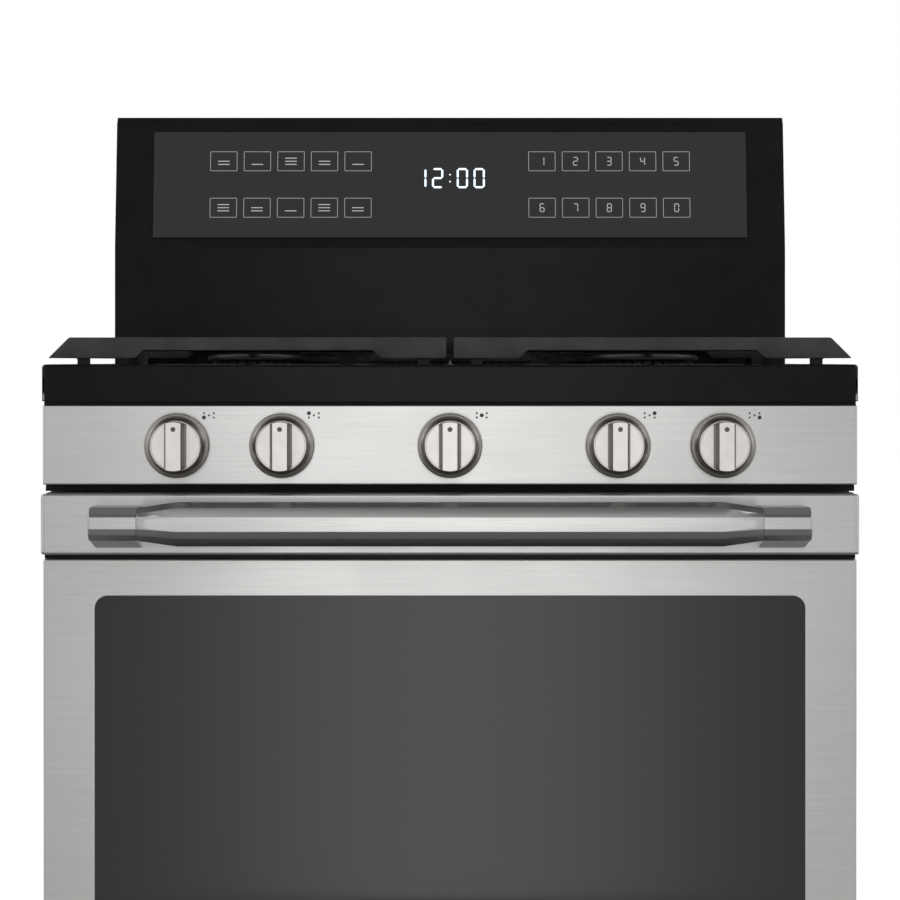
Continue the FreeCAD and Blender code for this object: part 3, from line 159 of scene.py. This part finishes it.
class Finish:
    """A procedural material, with short ways to add grain, wear and specks to its shader."""

    def __init__(self, name, colour, rough, metal=0.0, **sockets):
        self.material = bpy.data.materials.new(name)
        self.material.use_nodes = True
        self.tree = self.material.node_tree
        self.shader = self.tree.nodes["Principled BSDF"]
        self.set("Base Color", (*colour, 1))
        self.set("Roughness", rough)
        self.set("Metallic", metal)
        for socket, value in sockets.items():
            self.set(socket.replace("_", " "), value)
        self.place = self.node("ShaderNodeTexCoord").outputs["Object"]

    def set(self, socket, value):
        self.shader.inputs[socket].default_value = value

    def node(self, kind, **settings):
        made = self.tree.nodes.new(kind)
        for name, value in settings.items():
            setattr(made, name, value)
        return made

    def link(self, output, socket):
        self.tree.links.new(output, socket)

    def noise(self, scale, stretch=(1, 1, 1), detail=4, rough=0.55):
        """Noise in the object's own metres, squeezed or stretched along its axes."""
        mapping = self.node("ShaderNodeMapping")
        mapping.inputs["Scale"].default_value = stretch
        self.link(self.place, mapping.inputs["Vector"])
        noise = self.node("ShaderNodeTexNoise")
        noise.inputs["Scale"].default_value = scale
        noise.inputs["Detail"].default_value = detail
        noise.inputs["Roughness"].default_value = rough
        self.link(mapping.outputs["Vector"], noise.inputs["Vector"])
        return noise.outputs["Fac"]

    def spread(self, value, low, high, start=0.3, end=0.7):
        """A value mapped from start..end on to low..high."""
        ranged = self.node("ShaderNodeMapRange")
        for socket, number in (("From Min", start), ("From Max", end), ("To Min", low), ("To Max", high)):
            ranged.inputs[socket].default_value = number
        self.link(value, ranged.inputs["Value"])
        return ranged.outputs["Result"]

    def blotch(self, value, first, second, start=0.35, end=0.65):
        """The base colour wanders between two colours."""
        ramp = self.node("ShaderNodeValToRGB")
        for stop, place, colour in zip(ramp.color_ramp.elements, (start, end), (first, second)):
            stop.position = place
            stop.color = (*colour, 1)
        self.link(value, ramp.inputs["Fac"])
        self.link(ramp.outputs["Color"], self.shader.inputs["Base Color"])
        return self

    def roughen(self, value, low, high, start=0.3, end=0.7):
        self.link(self.spread(value, low, high, start, end), self.shader.inputs["Roughness"])
        return self

    def bump(self, value, strength, depth):
        bump = self.node("ShaderNodeBump")
        bump.inputs["Strength"].default_value = strength
        bump.inputs["Distance"].default_value = depth
        self.link(value, bump.inputs["Height"])
        last = self.shader.inputs["Normal"].links
        if last:
            self.link(last[0].from_socket, bump.inputs["Normal"])
        self.link(bump.outputs["Normal"], self.shader.inputs["Normal"])
        return self


def tint(colour, factor):
    return tuple(channel * factor for channel in colour)


def brushed_steel(name, colour, rough, anisotropic=0.75):
    """Stainless steel brushed from side to side, so its highlights stretch up and down."""
    steel = Finish(name, colour, rough, 1.0, Anisotropic=anisotropic)
    grain = steel.noise(14, (1, 90, 90), detail=5, rough=0.7)
    cloud = steel.noise(5, detail=3)
    steel.blotch(grain, tint(colour, 0.93), tint(colour, 1.05))
    steel.roughen(cloud, rough * 0.9, rough * 1.12)
    steel.bump(grain, 0.12, 0.00004)
    tangent = steel.node("ShaderNodeTangent", direction_type="RADIAL", axis="X")
    steel.link(tangent.outputs["Tangent"], steel.shader.inputs["Tangent"])
    return steel.material


def satin(name, colour, rough):
    """Satin metal with very fine marks."""
    metal = Finish(name, colour, rough, 1.0)
    fine = metal.noise(900, detail=3)
    metal.blotch(metal.noise(60, detail=3), tint(colour, 0.96), tint(colour, 1.03))
    metal.roughen(fine, rough * 0.92, rough * 1.1)
    metal.bump(fine, 0.05, 0.00002)
    return metal.material


def gloss_enamel(name, colour, specular, rough=0.09, speck=None):
    """Fired enamel: a faint orange peel, and specks where speck is a colour."""
    enamel = Finish(name, colour, rough)
    enamel.set("Specular IOR Level", specular)
    peel = enamel.noise(160, detail=2)
    if speck:
        cells = enamel.node("ShaderNodeTexVoronoi")
        cells.inputs["Scale"].default_value = 330
        enamel.link(enamel.place, cells.inputs["Vector"])
        enamel.blotch(cells.outputs["Distance"], speck, colour, 0.10, 0.16)
    else:
        enamel.blotch(enamel.noise(30), tint(colour, 0.8), tint(colour, 1.2))
    enamel.roughen(enamel.noise(9, detail=3), rough * 0.8, rough * 1.5)
    enamel.bump(peel, 0.12, 0.0001)
    return enamel.material


def cast_iron(name, colour, rough, grain=0.0004):
    """Cast metal under matte enamel: pitted, a little lighter where it wears."""
    iron = Finish(name, colour, rough)
    iron.set("Specular IOR Level", 0.35)
    pits = iron.noise(700, detail=5, rough=0.65)
    iron.blotch(iron.noise(45, detail=4), tint(colour, 0.8), tint(colour, 1.25))
    iron.roughen(pits, rough - 0.08, rough + 0.08)
    iron.bump(pits, 0.35, grain)
    return iron.material


def plain_metal(name, colour, rough, scale=120, amount=0.1):
    """Sheet or cast metal with a soft grain."""
    metal = Finish(name, colour, rough, 1.0)
    grain = metal.noise(scale, detail=4)
    metal.blotch(grain, tint(colour, 0.85), tint(colour, 1.1))
    metal.roughen(metal.noise(scale / 6), rough * 0.8, rough * 1.25)
    metal.bump(grain, amount, 0.0001)
    return metal.material


def galvanised():
    """Zinc-coated sheet with its spangle."""
    zinc = Finish("galvanised_sheet", (0.5, 0.515, 0.53), 0.4, 1.0)
    spangle = zinc.node("ShaderNodeTexVoronoi", feature="F1")
    spangle.inputs["Scale"].default_value = 70
    zinc.link(zinc.place, spangle.inputs["Vector"])
    zinc.blotch(spangle.outputs["Color"], (0.40, 0.415, 0.43), (0.58, 0.595, 0.61), 0.1, 0.9)
    zinc.roughen(spangle.outputs["Color"], 0.32, 0.5, 0, 1)
    return zinc.material


def painted(name, colour, rough):
    """Baked paint with an orange peel."""
    paint = Finish(name, colour, rough)
    peel = paint.noise(420, detail=2)
    paint.blotch(paint.noise(12), tint(colour, 0.92), tint(colour, 1.08))
    paint.roughen(peel, rough - 0.05, rough + 0.07)
    paint.bump(peel, 0.25, 0.0001)
    return paint.material


def glass(name, colour, transmission, rough=0.02):
    pane = Finish(name, colour, rough)
    pane.set("Transmission Weight", transmission)
    pane.set("IOR", 1.5)
    film = pane.noise(6, detail=3)
    pane.roughen(film, rough, rough * 2.2)
    pane.blotch(film, tint(colour, 0.94), colour)
    return pane.material


def wool(name, colour, scale):
    fibre = Finish(name, colour, 0.95)
    strands = fibre.noise(scale, (1, 0.25, 1), detail=6, rough=0.7)
    fibre.blotch(strands, tint(colour, 0.6), tint(colour, 1.1))
    fibre.bump(strands, 0.8, 0.002)
    fibre.set("Sheen Weight", 0.3)
    return fibre.material


def braid():
    """Woven glass sleeving."""
    sleeve = Finish("gasket_braid", (0.10, 0.10, 0.105), 0.8)
    wave = sleeve.node("ShaderNodeTexWave", wave_type="BANDS", bands_direction="DIAGONAL")
    wave.inputs["Scale"].default_value = 260
    wave.inputs["Distortion"].default_value = 1.5
    sleeve.link(sleeve.place, wave.inputs["Vector"])
    sleeve.blotch(wave.outputs["Fac"], (0.05, 0.05, 0.052), (0.17, 0.17, 0.175))
    sleeve.bump(wave.outputs["Fac"], 0.7, 0.0006)
    return sleeve.material


def moulded(name, colour, rough):
    plastic = Finish(name, colour, rough)
    texture = plastic.noise(800, detail=2)
    plastic.blotch(plastic.noise(20), tint(colour, 0.9), tint(colour, 1.1))
    plastic.roughen(texture, rough - 0.06, rough + 0.08)
    plastic.bump(texture, 0.2, 0.0001)
    return plastic.material


def glow(name, colour, strength):
    """A lit mark under glass, its base colour varying a little at random."""
    lamp = Finish(name, tint(colour, 0.2), 0.4)
    lamp.blotch(lamp.noise(400), tint(colour, 0.17), tint(colour, 0.22))
    lamp.set("Emission Color", (*colour, 1))
    lamp.set("Emission Strength", strength)
    return lamp.material


STEEL = (0.60, 0.597, 0.585)
FINISHES = {
    "stainless": brushed_steel("stainless_brushed", STEEL, 0.30),
    "knob_metal": satin("knob_satin", (0.66, 0.635, 0.605), 0.32),
    "black_enamel": gloss_enamel("black_enamel", (0.0055, 0.0055, 0.0058), 0.09),
    "black_paint": painted("black_paint", (0.035, 0.035, 0.037), 0.42),
    "grate_iron": cast_iron("grate_iron", (0.026, 0.026, 0.0265), 0.62),
    "cap_enamel": cast_iron("cap_enamel", (0.009, 0.009, 0.0095), 0.45, 0.0002),
    "burner_alloy": plain_metal("burner_alloy", (0.5, 0.5, 0.495), 0.42, 300, 0.3),
    "galvanised": galvanised(),
    "oven_enamel": gloss_enamel("oven_enamel", (0.014, 0.017, 0.028), 0.4, 0.16, speck=(0.16, 0.17, 0.2)),
    "bright_steel": plain_metal("bright_steel", (0.72, 0.72, 0.72), 0.16, 60, 0.04),
    "pipe_steel": plain_metal("pipe_steel", (0.36, 0.36, 0.37), 0.4, 200, 0.2),
    "regulator_zinc": plain_metal("regulator_zinc", (0.46, 0.46, 0.45), 0.5, 400, 0.4),
    "dark_glass": glass("dark_glass", (0.006, 0.006, 0.007), 0.12, 0.03),
    "clear_glass": glass("clear_glass", (0.86, 0.88, 0.87), 0.95, 0.01),
    "glass_wool": wool("glass_wool", (0.80, 0.70, 0.40), 240),
    "gasket_braid": braid(),
    "ceramic": moulded("spark_ceramic", (0.80, 0.79, 0.75), 0.35),
    "board": moulded("circuit_board", (0.015, 0.12, 0.05), 0.45),
    "black_plastic": moulded("black_plastic", (0.02, 0.02, 0.021), 0.5),
}
MARK = moulded("panel_mark", (0.03, 0.03, 0.031), 0.5)
# Painted shade: the skirt is the knob's satin metal darkened, standing in for shade and dark reflection on
# its sweep.
SHADED_SKIRT = satin("knob_skirt", (0.37, 0.345, 0.325), 0.36)
# Painted shade: a near-black copy of the knob's metal for the grip's steep sides.
GRIP_SIDE_SHADE = satin("knob_grip_side_shade", (0.13, 0.125, 0.12), 0.4)
# Painted shade: the handle is the stainless tinted darker to dim the bar, with its own smoother brushing.
SHADED_HANDLE = brushed_steel("handle_steel_shaded", tint(STEEL, 0.86), 0.25, anisotropic=0.5)
# Painted shade: the burner heads are near-black instead of light alloy, for the shade under the grates.
HEAD_SHADE = cast_iron("burner_head_shade_black", (0.014, 0.014, 0.0145), 0.5, 0.0002)
# Painted shade: near-black, for the seal and trim that stand in the shadowed gaps by the control panel.
SEAL_SHADE = moulded("seal_shade_black", (0.002, 0.002, 0.002), 0.8)
FRIT = moulded("window_frit", (0.003, 0.003, 0.003), 0.55)
OWN_FINISH = {"handle_bar": SHADED_HANDLE, "handle_brackets": SHADED_HANDLE, "burner_heads": HEAD_SHADE}
DOT = moulded("knob_dot", (0.09, 0.085, 0.08), 0.55)
DIGIT = glow("clock_digit", (0.72, 0.88, 1.0), 1.6)
KEY = glow("touch_key", (0.85, 0.85, 0.85), 0.35)


def dress_nodes():
    """Every CAD node gets its slot's material and smooth shading."""
    for row in frame["record"]["subparts"]:
        node = nodes[row["node"]]
        node.data.materials.clear()
        node.data.materials.append(OWN_FINISH.get(row["node"], FINISHES[row["material_slot"]]))
        soften(row["node"])


dress_nodes()


# ---- knobs -----------------------------------------------------------------------------------

KNOBS = ("left_outer", "left_inner", "centre", "right_inner", "right_outer")
OUT = Vector((0, -1, 0))
SIDE_SHADE_STEP = 18.5 * MM  # how far out from the panel the painted shade on the grip's sides turns darker
DOT_RISE = 15.8 * MM
MARK_AT = Vector((29.5 * MM, 0, 28 * MM))


def knob_place(name):
    """The middle of a knob's back face."""
    low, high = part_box(f"knob_{name}")
    return Vector(((low.x + high.x) / 2, high.y, (low.z + high.z) / 2))


def knob_skirt(name):
    """The flared skirt: a thin rim at the panel, then a hollow sweep in to the face."""
    place = knob_place(name)
    profile = [(0, 0), (29.0, 0), (29.7, 0.4), (30.0, 1.1), (30.0, 2.6), (29.6, 3.3)]
    rim, neck, low, high = 29.2, 24.0, 3.6, 12.6
    for step in range(9):
        turn = math.pi / 2 * step / 8
        profile.append((rim - (rim - neck) * math.sin(turn), low + (high - low) * (1 - math.cos(turn))))
    profile += [(23.9, 13.4), (23.5, 13.9)]
    bm = bmesh.new()
    add_lathe(bm, [(r * MM, h * MM) for r, h in profile], place, OUT, steps=96)
    # Its material is painted shade: the knob's metal darkened.
    skirt = new_object(f"knob_skirt_{name}", bm, SHADED_SKIRT)
    return finish_piece(skirt, f"dial_{name}")


def knob_top(name):
    """The flat face with its lip and the grip that stands on it. The grip's sides are drafted and
    spread into the face, and its ends follow the face's round."""
    place = knob_place(name)
    bm = bmesh.new()
    face = [(23.55, 13.2), (23.55, 13.8), (23.2, 14.2), (22.6, 14.2), (22.2, 13.9), (0, 13.9)]
    add_lathe(bm, [(r * MM, h * MM) for r, h in face], place, OUT, steps=96)
    levels = (
        (10.4, 22.6, 13.8), (9.9, 22.6, 14.6), (9.4, 22.7, 16.4), (8.9, 22.8, 18.5), (8.35, 22.9, 24.0),
        (7.9, 23.0, 29.0), (7.6, 23.1, 33.6), (7.45, 23.1, 34.7), (7.1, 22.8, 35.5), (6.5, 22.3, 36.0),
    )
    count = 14
    loops = []
    for half, radius, height in levels:
        across = [half * (2 * n / count - 1) for n in range(count + 1)]
        top = [(x, math.sqrt(radius * radius - x * x)) for x in across]
        ring = top + [(-x, -z) for x, z in top]
        loops.append([bm.verts.new(place + Vector((x * MM, -height * MM, z * MM))) for x, z in ring])
    for below, above in zip(loops, loops[1:]):
        for n in range(len(below)):
            after = (n + 1) % len(below)
            bm.faces.new([below[n], below[after], above[after], above[n]])
    bm.faces.new(loops[-1])
    bm.faces.new(list(reversed(loops[0])))
    bmesh.ops.recalc_face_normals(bm, faces=bm.faces)
    # Painted shade: the grip's steep sides take darker copies of the knob's metal, the skirt's near the
    # face and a darker grey further out.
    for face in bm.faces:
        middle = face.calc_center_median()
        if abs(face.normal.x) > 0.8 and abs(middle.x - place.x) < levels[0][0] * MM:
            face.material_index = 1 if place.y - middle.y > SIDE_SHADE_STEP else 2
    top = new_object(f"knob_top_{name}", bm, FINISHES["knob_metal"])
    top.data.materials.append(GRIP_SIDE_SHADE)
    top.data.materials.append(SHADED_SKIRT)
    return finish_piece(top, f"dial_{name}", [f"knob_{name}"])


def knob_dot(name):
    """The dark dot near the grip's upper end, a shallow dished button."""
    bm = bmesh.new()
    profile = [(0, 35.7), (2.3, 35.7), (2.3, 36.1), (2.0, 36.25), (1.4, 36.1), (0, 36.0)]
    place = knob_place(name) + Vector((0, 0, DOT_RISE))
    add_lathe(bm, [(r * MM, h * MM) for r, h in profile], place, OUT, 24)
    dot = new_object(f"knob_dot_{name}", bm, DOT)
    return finish_piece(dot, f"dial_{name}")


def burner_mark(number, name):
    """A small printed plan of the five burners beside a knob, with that knob's own burner larger."""
    place = knob_place(name) + MARK_AT
    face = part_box("control_panel")[0].y
    plan = ((-4.6, -2), (-4.6, 2), (0, 0), (4.6, 2), (4.6, -2))
    bm = bmesh.new()
    for spot, (x, z) in enumerate(plan):
        radius = 1.85 if spot == number else 0.95
        centre = Vector((place.x + x * MM, face + 0.01 * MM, place.z + z * MM))
        add_lathe(bm, [(0, 0), (radius * MM, 0), (radius * MM, 0.06 * MM), (0, 0.09 * MM)], centre, OUT, 20)
    mark = new_object(f"burner_mark_{name}", bm, MARK)
    return finish_piece(mark, "chassis")


def knobs():
    for number, name in enumerate(KNOBS):
        knob_skirt(name)
        knob_top(name)
        knob_dot(name)
        burner_mark(number, name)


# ---- cooktop ---------------------------------------------------------------------------------

def seal_strip():
    """The black rubber seal between the cooktop's skirt and the control panel, near-black as painted shade
    for the gap there.
    """
    panel_low, panel_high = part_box("control_panel")
    top_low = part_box("cooktop")[0]
    half = panel_high.x - 1 * MM
    front = panel_low.y + 3.2 * MM
    lip = top_low.z + 1.5 * MM
    section = ((front, panel_high.z - 0.1 * MM), (front - 0.8 * MM, panel_high.z + 1.6 * MM), (front, lip),
               (front + 4 * MM, lip), (front + 4 * MM, panel_high.z - 0.1 * MM))
    bm = bmesh.new()
    add_prism(bm, section, 0, -half, half)
    strip = new_object("cooktop_seal", bm, SEAL_SHADE)
    finish_piece(bevel(strip, 0.4 * MM, 2), "chassis")


def vent_trim():
    """The black trim that closes the gap under the control panel, over the door's rail, near-black as
    painted shade for that gap.
    """
    low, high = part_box("control_panel")
    rail_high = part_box("door_top_rail")[1]
    half = high.x
    bottom = rail_high.z + 1.3 * MM
    section = ((low.y + 21 * MM, bottom), (low.y + 22 * MM, low.z - 0.1 * MM),
               (low.y + 40 * MM, low.z - 0.1 * MM), (low.y + 40 * MM, bottom))
    bm = bmesh.new()
    add_prism(bm, section, 0, -half, half)
    finish_piece(new_object("vent_trim", bm, SEAL_SHADE), "chassis")


def round_edges():
    """The grates' edges are rounded, as castings are, and the bar's faces run into one another."""
    for side in ("left", "right"):
        bevel(nodes[f"grate_{side}"], 1.6 * MM, 3, 40)
    bevel(nodes["handle_bar"], 2.2 * MM, 5, 9)


# ---- control glass ---------------------------------------------------------------------------

SEGMENTS = {
    "0": "abcdef", "1": "bc", "2": "abged", "3": "abgcd", "4": "fgbc", "5": "afgcd", "6": "afgedc",
    "7": "abc", "8": "abcdefg", "9": "abcdfg",
}
STROKES = {  # each stroke's two ends, in halves of the digit's width and height
    "a": ((-1, 1), (1, 1)), "b": ((1, 1), (1, 0)), "c": ((1, 0), (1, -1)), "d": ((-1, -1), (1, -1)),
    "e": ((-1, 0), (-1, -1)), "f": ((-1, 1), (-1, 0)), "g": ((-1, 0), (1, 0)),
}


class Fascia:
    """Places on the leaning glass: across and up its face, and out from it."""

    def __init__(self):
        low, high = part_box("control_glass")
        self.up = Vector((0, high.y - low.y - 3 * MM, high.z - low.z)).normalized()
        self.out = Vector((0, -self.up.z, self.up.y))
        self.foot = Vector((0, low.y, low.z + 0.4 * MM))
        self.high = (high.z - low.z) / self.up.z

    def at(self, x, rise, out=0.0):
        return self.foot + Vector((x, 0, 0)) + self.up * rise + self.out * out

    def bar(self, bm, start, end, thick, high):
        """A flat bar with pointed ends from start to end, both (x, rise)."""
        run = Vector((end[0] - start[0], end[1] - start[1]))
        along = run.normalized()
        side = Vector((-along.y, along.x)) * thick / 2
        first, last = Vector(start) + along * thick * 0.15, Vector(end) - along * thick * 0.15
        plan = [first, first + along * thick / 2 + side, last - along * thick / 2 + side, last,
                last - along * thick / 2 - side, first + along * thick / 2 - side]
        rings = [[bm.verts.new(self.at(spot.x, spot.y, out)) for spot in plan] for out in (0.02 * MM, high)]
        for n in range(6):
            bm.faces.new([rings[0][n], rings[0][(n + 1) % 6], rings[1][(n + 1) % 6], rings[1][n]])
        bm.faces.new(rings[1])
        bm.faces.new(list(reversed(rings[0])))

    def digit(self, bm, figure, x, rise, wide, tall, thick):
        for name in SEGMENTS[figure]:
            ends = [(x + a * wide / 2, rise + b * tall / 2) for a, b in STROKES[name]]
            self.bar(bm, *ends, thick, 0.08 * MM)


def clock(fascia):
    """A lit seven-segment clock in the middle of the glass."""
    bm = bmesh.new()
    rise = fascia.high * 0.56
    for figure, x in zip("1200", (-33, -14, 14, 33)):
        fascia.digit(bm, figure, x * MM, rise, 10.5 * MM, 21 * MM, 2.2 * MM)
    for step in (-4, 4):
        fascia.bar(bm, (-1.4 * MM, rise + step * MM), (1.4 * MM, rise + step * MM), 2.4 * MM, 0.08 * MM)
    bmesh.ops.recalc_face_normals(bm, faces=bm.faces)
    finish_piece(new_object("clock_digits", bm, DIGIT), "chassis")


def touch_keys(fascia):
    """Outlined touch keys each side of the clock: figures on the right, plain bars on the left."""
    bm = bmesh.new()
    figures = iter("1234567890")
    for row in range(2):
        for column in range(5):
            for side in (-1, 1):
                x = side * (104 + 38 * column) * MM
                rise = fascia.high * (0.72 - 0.44 * row)
                half, tall = 15 * MM, 11 * MM
                corners = ((x - half, rise - tall), (x + half, rise - tall), (x + half, rise + tall),
                           (x - half, rise + tall))
                for start, end in zip(corners, corners[1:] + corners[:1]):
                    fascia.bar(bm, start, end, 0.5 * MM, 0.05 * MM)
                if side > 0:
                    fascia.digit(bm, next(figures), x, rise, 4.6 * MM, 9 * MM, 1.0 * MM)
                else:
                    for line in range(1 + (row + column) % 3):
                        level = rise + (line - 1) * 3.6 * MM
                        fascia.bar(bm, (x - 7 * MM, level), (x + 7 * MM, level), 1.1 * MM, 0.05 * MM)
    bmesh.ops.recalc_face_normals(bm, faces=bm.faces)
    finish_piece(new_object("touch_keys", bm, KEY), "chassis")


# ---- door ------------------------------------------------------------------------------------

def window_print():
    """The black border printed behind the window, fading into rows of dots."""
    low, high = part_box("door_window_glass")
    back = high.y + 0.05 * MM
    edge, wide = 15 * MM, 34 * MM
    bm = bmesh.new()
    outer = ((low.x + 1 * MM, low.z + 1 * MM), (high.x - 1 * MM, high.z - 1 * MM))
    inner = ((low.x + edge + wide, low.z + edge + wide), (high.x - edge - wide, high.z - edge - wide))
    (x0, z0), (x3, z3), (x1, z1), (x2, z2) = *outer, *inner
    for box in ((x0, z0, x3, z1), (x0, z2, x3, z3), (x0, z1, x1, z2), (x2, z1, x3, z2)):
        add_box(bm, (box[0], back, box[1]), (box[2], back + 0.15 * MM, box[3]))
    pitch = 4 * MM
    for row, radius in enumerate((1.5, 1.15, 0.8)):
        inset = (0.6 + row) * pitch
        for x, z in border_spots(x1 + inset, x2 - inset, z1 + inset, z2 - inset, pitch):
            add_lathe(bm, [(0, 0), (radius * MM, 0), (0, 0.1 * MM)], Vector((x, back, z)), -OUT, 8)
    finish_piece(new_object("window_print", bm, FRIT), "door")


def border_spots(x_low, x_high, z_low, z_high, pitch):
    """Evenly spaced spots round a rectangle."""
    across = round((x_high - x_low) / pitch)
    up = round((z_high - z_low) / pitch)
    for n in range(across + 1):
        x = x_low + (x_high - x_low) * n / across
        yield x, z_low
        yield x, z_high
    for n in range(1, up):
        z = z_low + (z_high - z_low) * n / up
        yield x_low, z
        yield x_high, z


knobs()
seal_strip()
vent_trim()
round_edges()
fascia = Fascia()
clock(fascia)
touch_keys(fascia)
window_print()


# ---- stage ---------------------------------------------------------------------------------

def camera():
    """Level with the cooktop and square on, far enough back for the range's top half."""
    pan_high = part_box("cooktop")[1]
    distance = 2.75
    eye = bpy.data.cameras.new("camera")
    eye.sensor_width = 36
    eye.lens = 118.4
    eye.shift_y = -0.0989
    seat = bpy.data.objects.new("camera", eye)
    bpy.context.scene.collection.objects.link(seat)
    seat.location = (0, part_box("control_panel")[0].y - distance, pan_high.z + 0.003)
    seat.rotation_euler = (math.radians(90), 0, 0)
    bpy.context.scene.camera = seat


def floor():
    bm = bmesh.new()
    bmesh.ops.create_grid(bm, x_segments=1, y_segments=1, size=30)
    ground = Finish("pale_floor", (0.86, 0.86, 0.86), 0.7)
    ground.blotch(ground.noise(2), (0.85, 0.85, 0.848), (0.87, 0.87, 0.868))
    ground.set("Emission Color", (1, 1, 1, 1))
    ground.set("Emission Strength", 0.58)
    plane = new_object("floor", bm, ground.material)
    plane.visible_glossy = False


def light(name, place, target, size, power):
    lamp = bpy.data.lights.new(name, "AREA")
    lamp.shape = "RECTANGLE"
    lamp.size, lamp.size_y = size
    lamp.energy = power
    seat = bpy.data.objects.new(name, lamp)
    bpy.context.scene.collection.objects.link(seat)
    seat.location = place
    seat.rotation_euler = (Vector(target) - Vector(place)).to_track_quat("-Z", "Y").to_euler()
    return seat


SKY = (  # how bright the studio's walls are, by the height of the direction looked in, -1 down to 1 up
    (-1.0, 0.16), (-0.54, 0.17), (-0.35, 0.26), (-0.2, 0.76), (0.0, 0.76), (0.42, 0.76), (0.7, 0.58),
    (0.84, 0.16), (0.95, 0.1), (0.99, 0.35),
)


def studio():
    """White to the camera. To everything else it is bright near the horizon and overhead, dark below."""
    world = bpy.data.worlds.new("studio")
    world.use_nodes = True
    bpy.context.scene.world = world
    tree = world.node_tree
    plain = tree.nodes["Background"]
    plain.inputs["Color"].default_value = (1, 1, 1, 1)
    walls = tree.nodes.new("ShaderNodeBackground")
    way = tree.nodes.new("ShaderNodeTexCoord")
    split = tree.nodes.new("ShaderNodeSeparateXYZ")
    ranged = tree.nodes.new("ShaderNodeMapRange")
    ranged.inputs["From Min"].default_value = -1
    ramp = tree.nodes.new("ShaderNodeValToRGB")
    while len(ramp.color_ramp.elements) < len(SKY):
        ramp.color_ramp.elements.new(0.5)
    for stop, (height, bright) in zip(ramp.color_ramp.elements, SKY):
        stop.position = (height + 1) / 2
        stop.color = (bright, bright, bright, 1)
    path = tree.nodes.new("ShaderNodeLightPath")
    mix = tree.nodes.new("ShaderNodeMixShader")
    for source, target in (
        (way.outputs["Generated"], split.inputs["Vector"]),
        (split.outputs["Z"], ranged.inputs["Value"]),
        (ranged.outputs["Result"], ramp.inputs["Fac"]),
        (ramp.outputs["Color"], walls.inputs["Color"]),
        (path.outputs["Is Camera Ray"], mix.inputs["Fac"]),
        (walls.outputs["Background"], mix.inputs[1]),
        (plain.outputs["Background"], mix.inputs[2]),
        (mix.outputs["Shader"], tree.nodes["World Output"].inputs["Surface"]),
    ):
        tree.links.new(source, target)


def feather(lamp, core, edge):
    """A lamp's strength fades across its width, from core to edge metres either side of x = 0."""
    lamp.use_nodes = True
    tree = lamp.node_tree
    place = tree.nodes.new("ShaderNodeNewGeometry")
    split = tree.nodes.new("ShaderNodeSeparateXYZ")
    aside = tree.nodes.new("ShaderNodeMath")
    aside.operation = "ABSOLUTE"
    fade = tree.nodes.new("ShaderNodeMapRange")
    fade.interpolation_type = "SMOOTHSTEP"
    for socket, number in (("From Min", core), ("From Max", edge), ("To Min", 1), ("To Max", 0)):
        fade.inputs[socket].default_value = number
    for source, target in (
        (place.outputs["Position"], split.inputs["Vector"]),
        (split.outputs["X"], aside.inputs[0]),
        (aside.outputs["Value"], fade.inputs["Value"]),
        (fade.outputs["Result"], tree.nodes["Emission"].inputs["Strength"]),
    ):
        tree.links.new(source, target)


def lights():
    studio()
    key = light("key", (0, -3.6, 1.0), (0, -0.3, 0.8), (1.6, 2.4), 14)
    feather(key.data, 0.05, 0.8)
    top = light("top", (0, -0.6, 3.4), (0, -0.1, 0.9), (2.4, 1.0), 20)
    top.visible_glossy = False
    light("fill_left", (-3.4, -0.6, 2.0), (0, 0, 0.6), (1.2, 2.0), 11)
    light("fill_right", (3.4, -0.6, 2.0), (0, 0, 0.6), (1.2, 2.0), 11)
    light("back", (0, 3.4, 2.0), (0, 0.2, 0.7), (2.4, 1.6), 25)
    bpy.context.scene.view_settings.view_transform = "Standard"


camera()
floor()
lights()
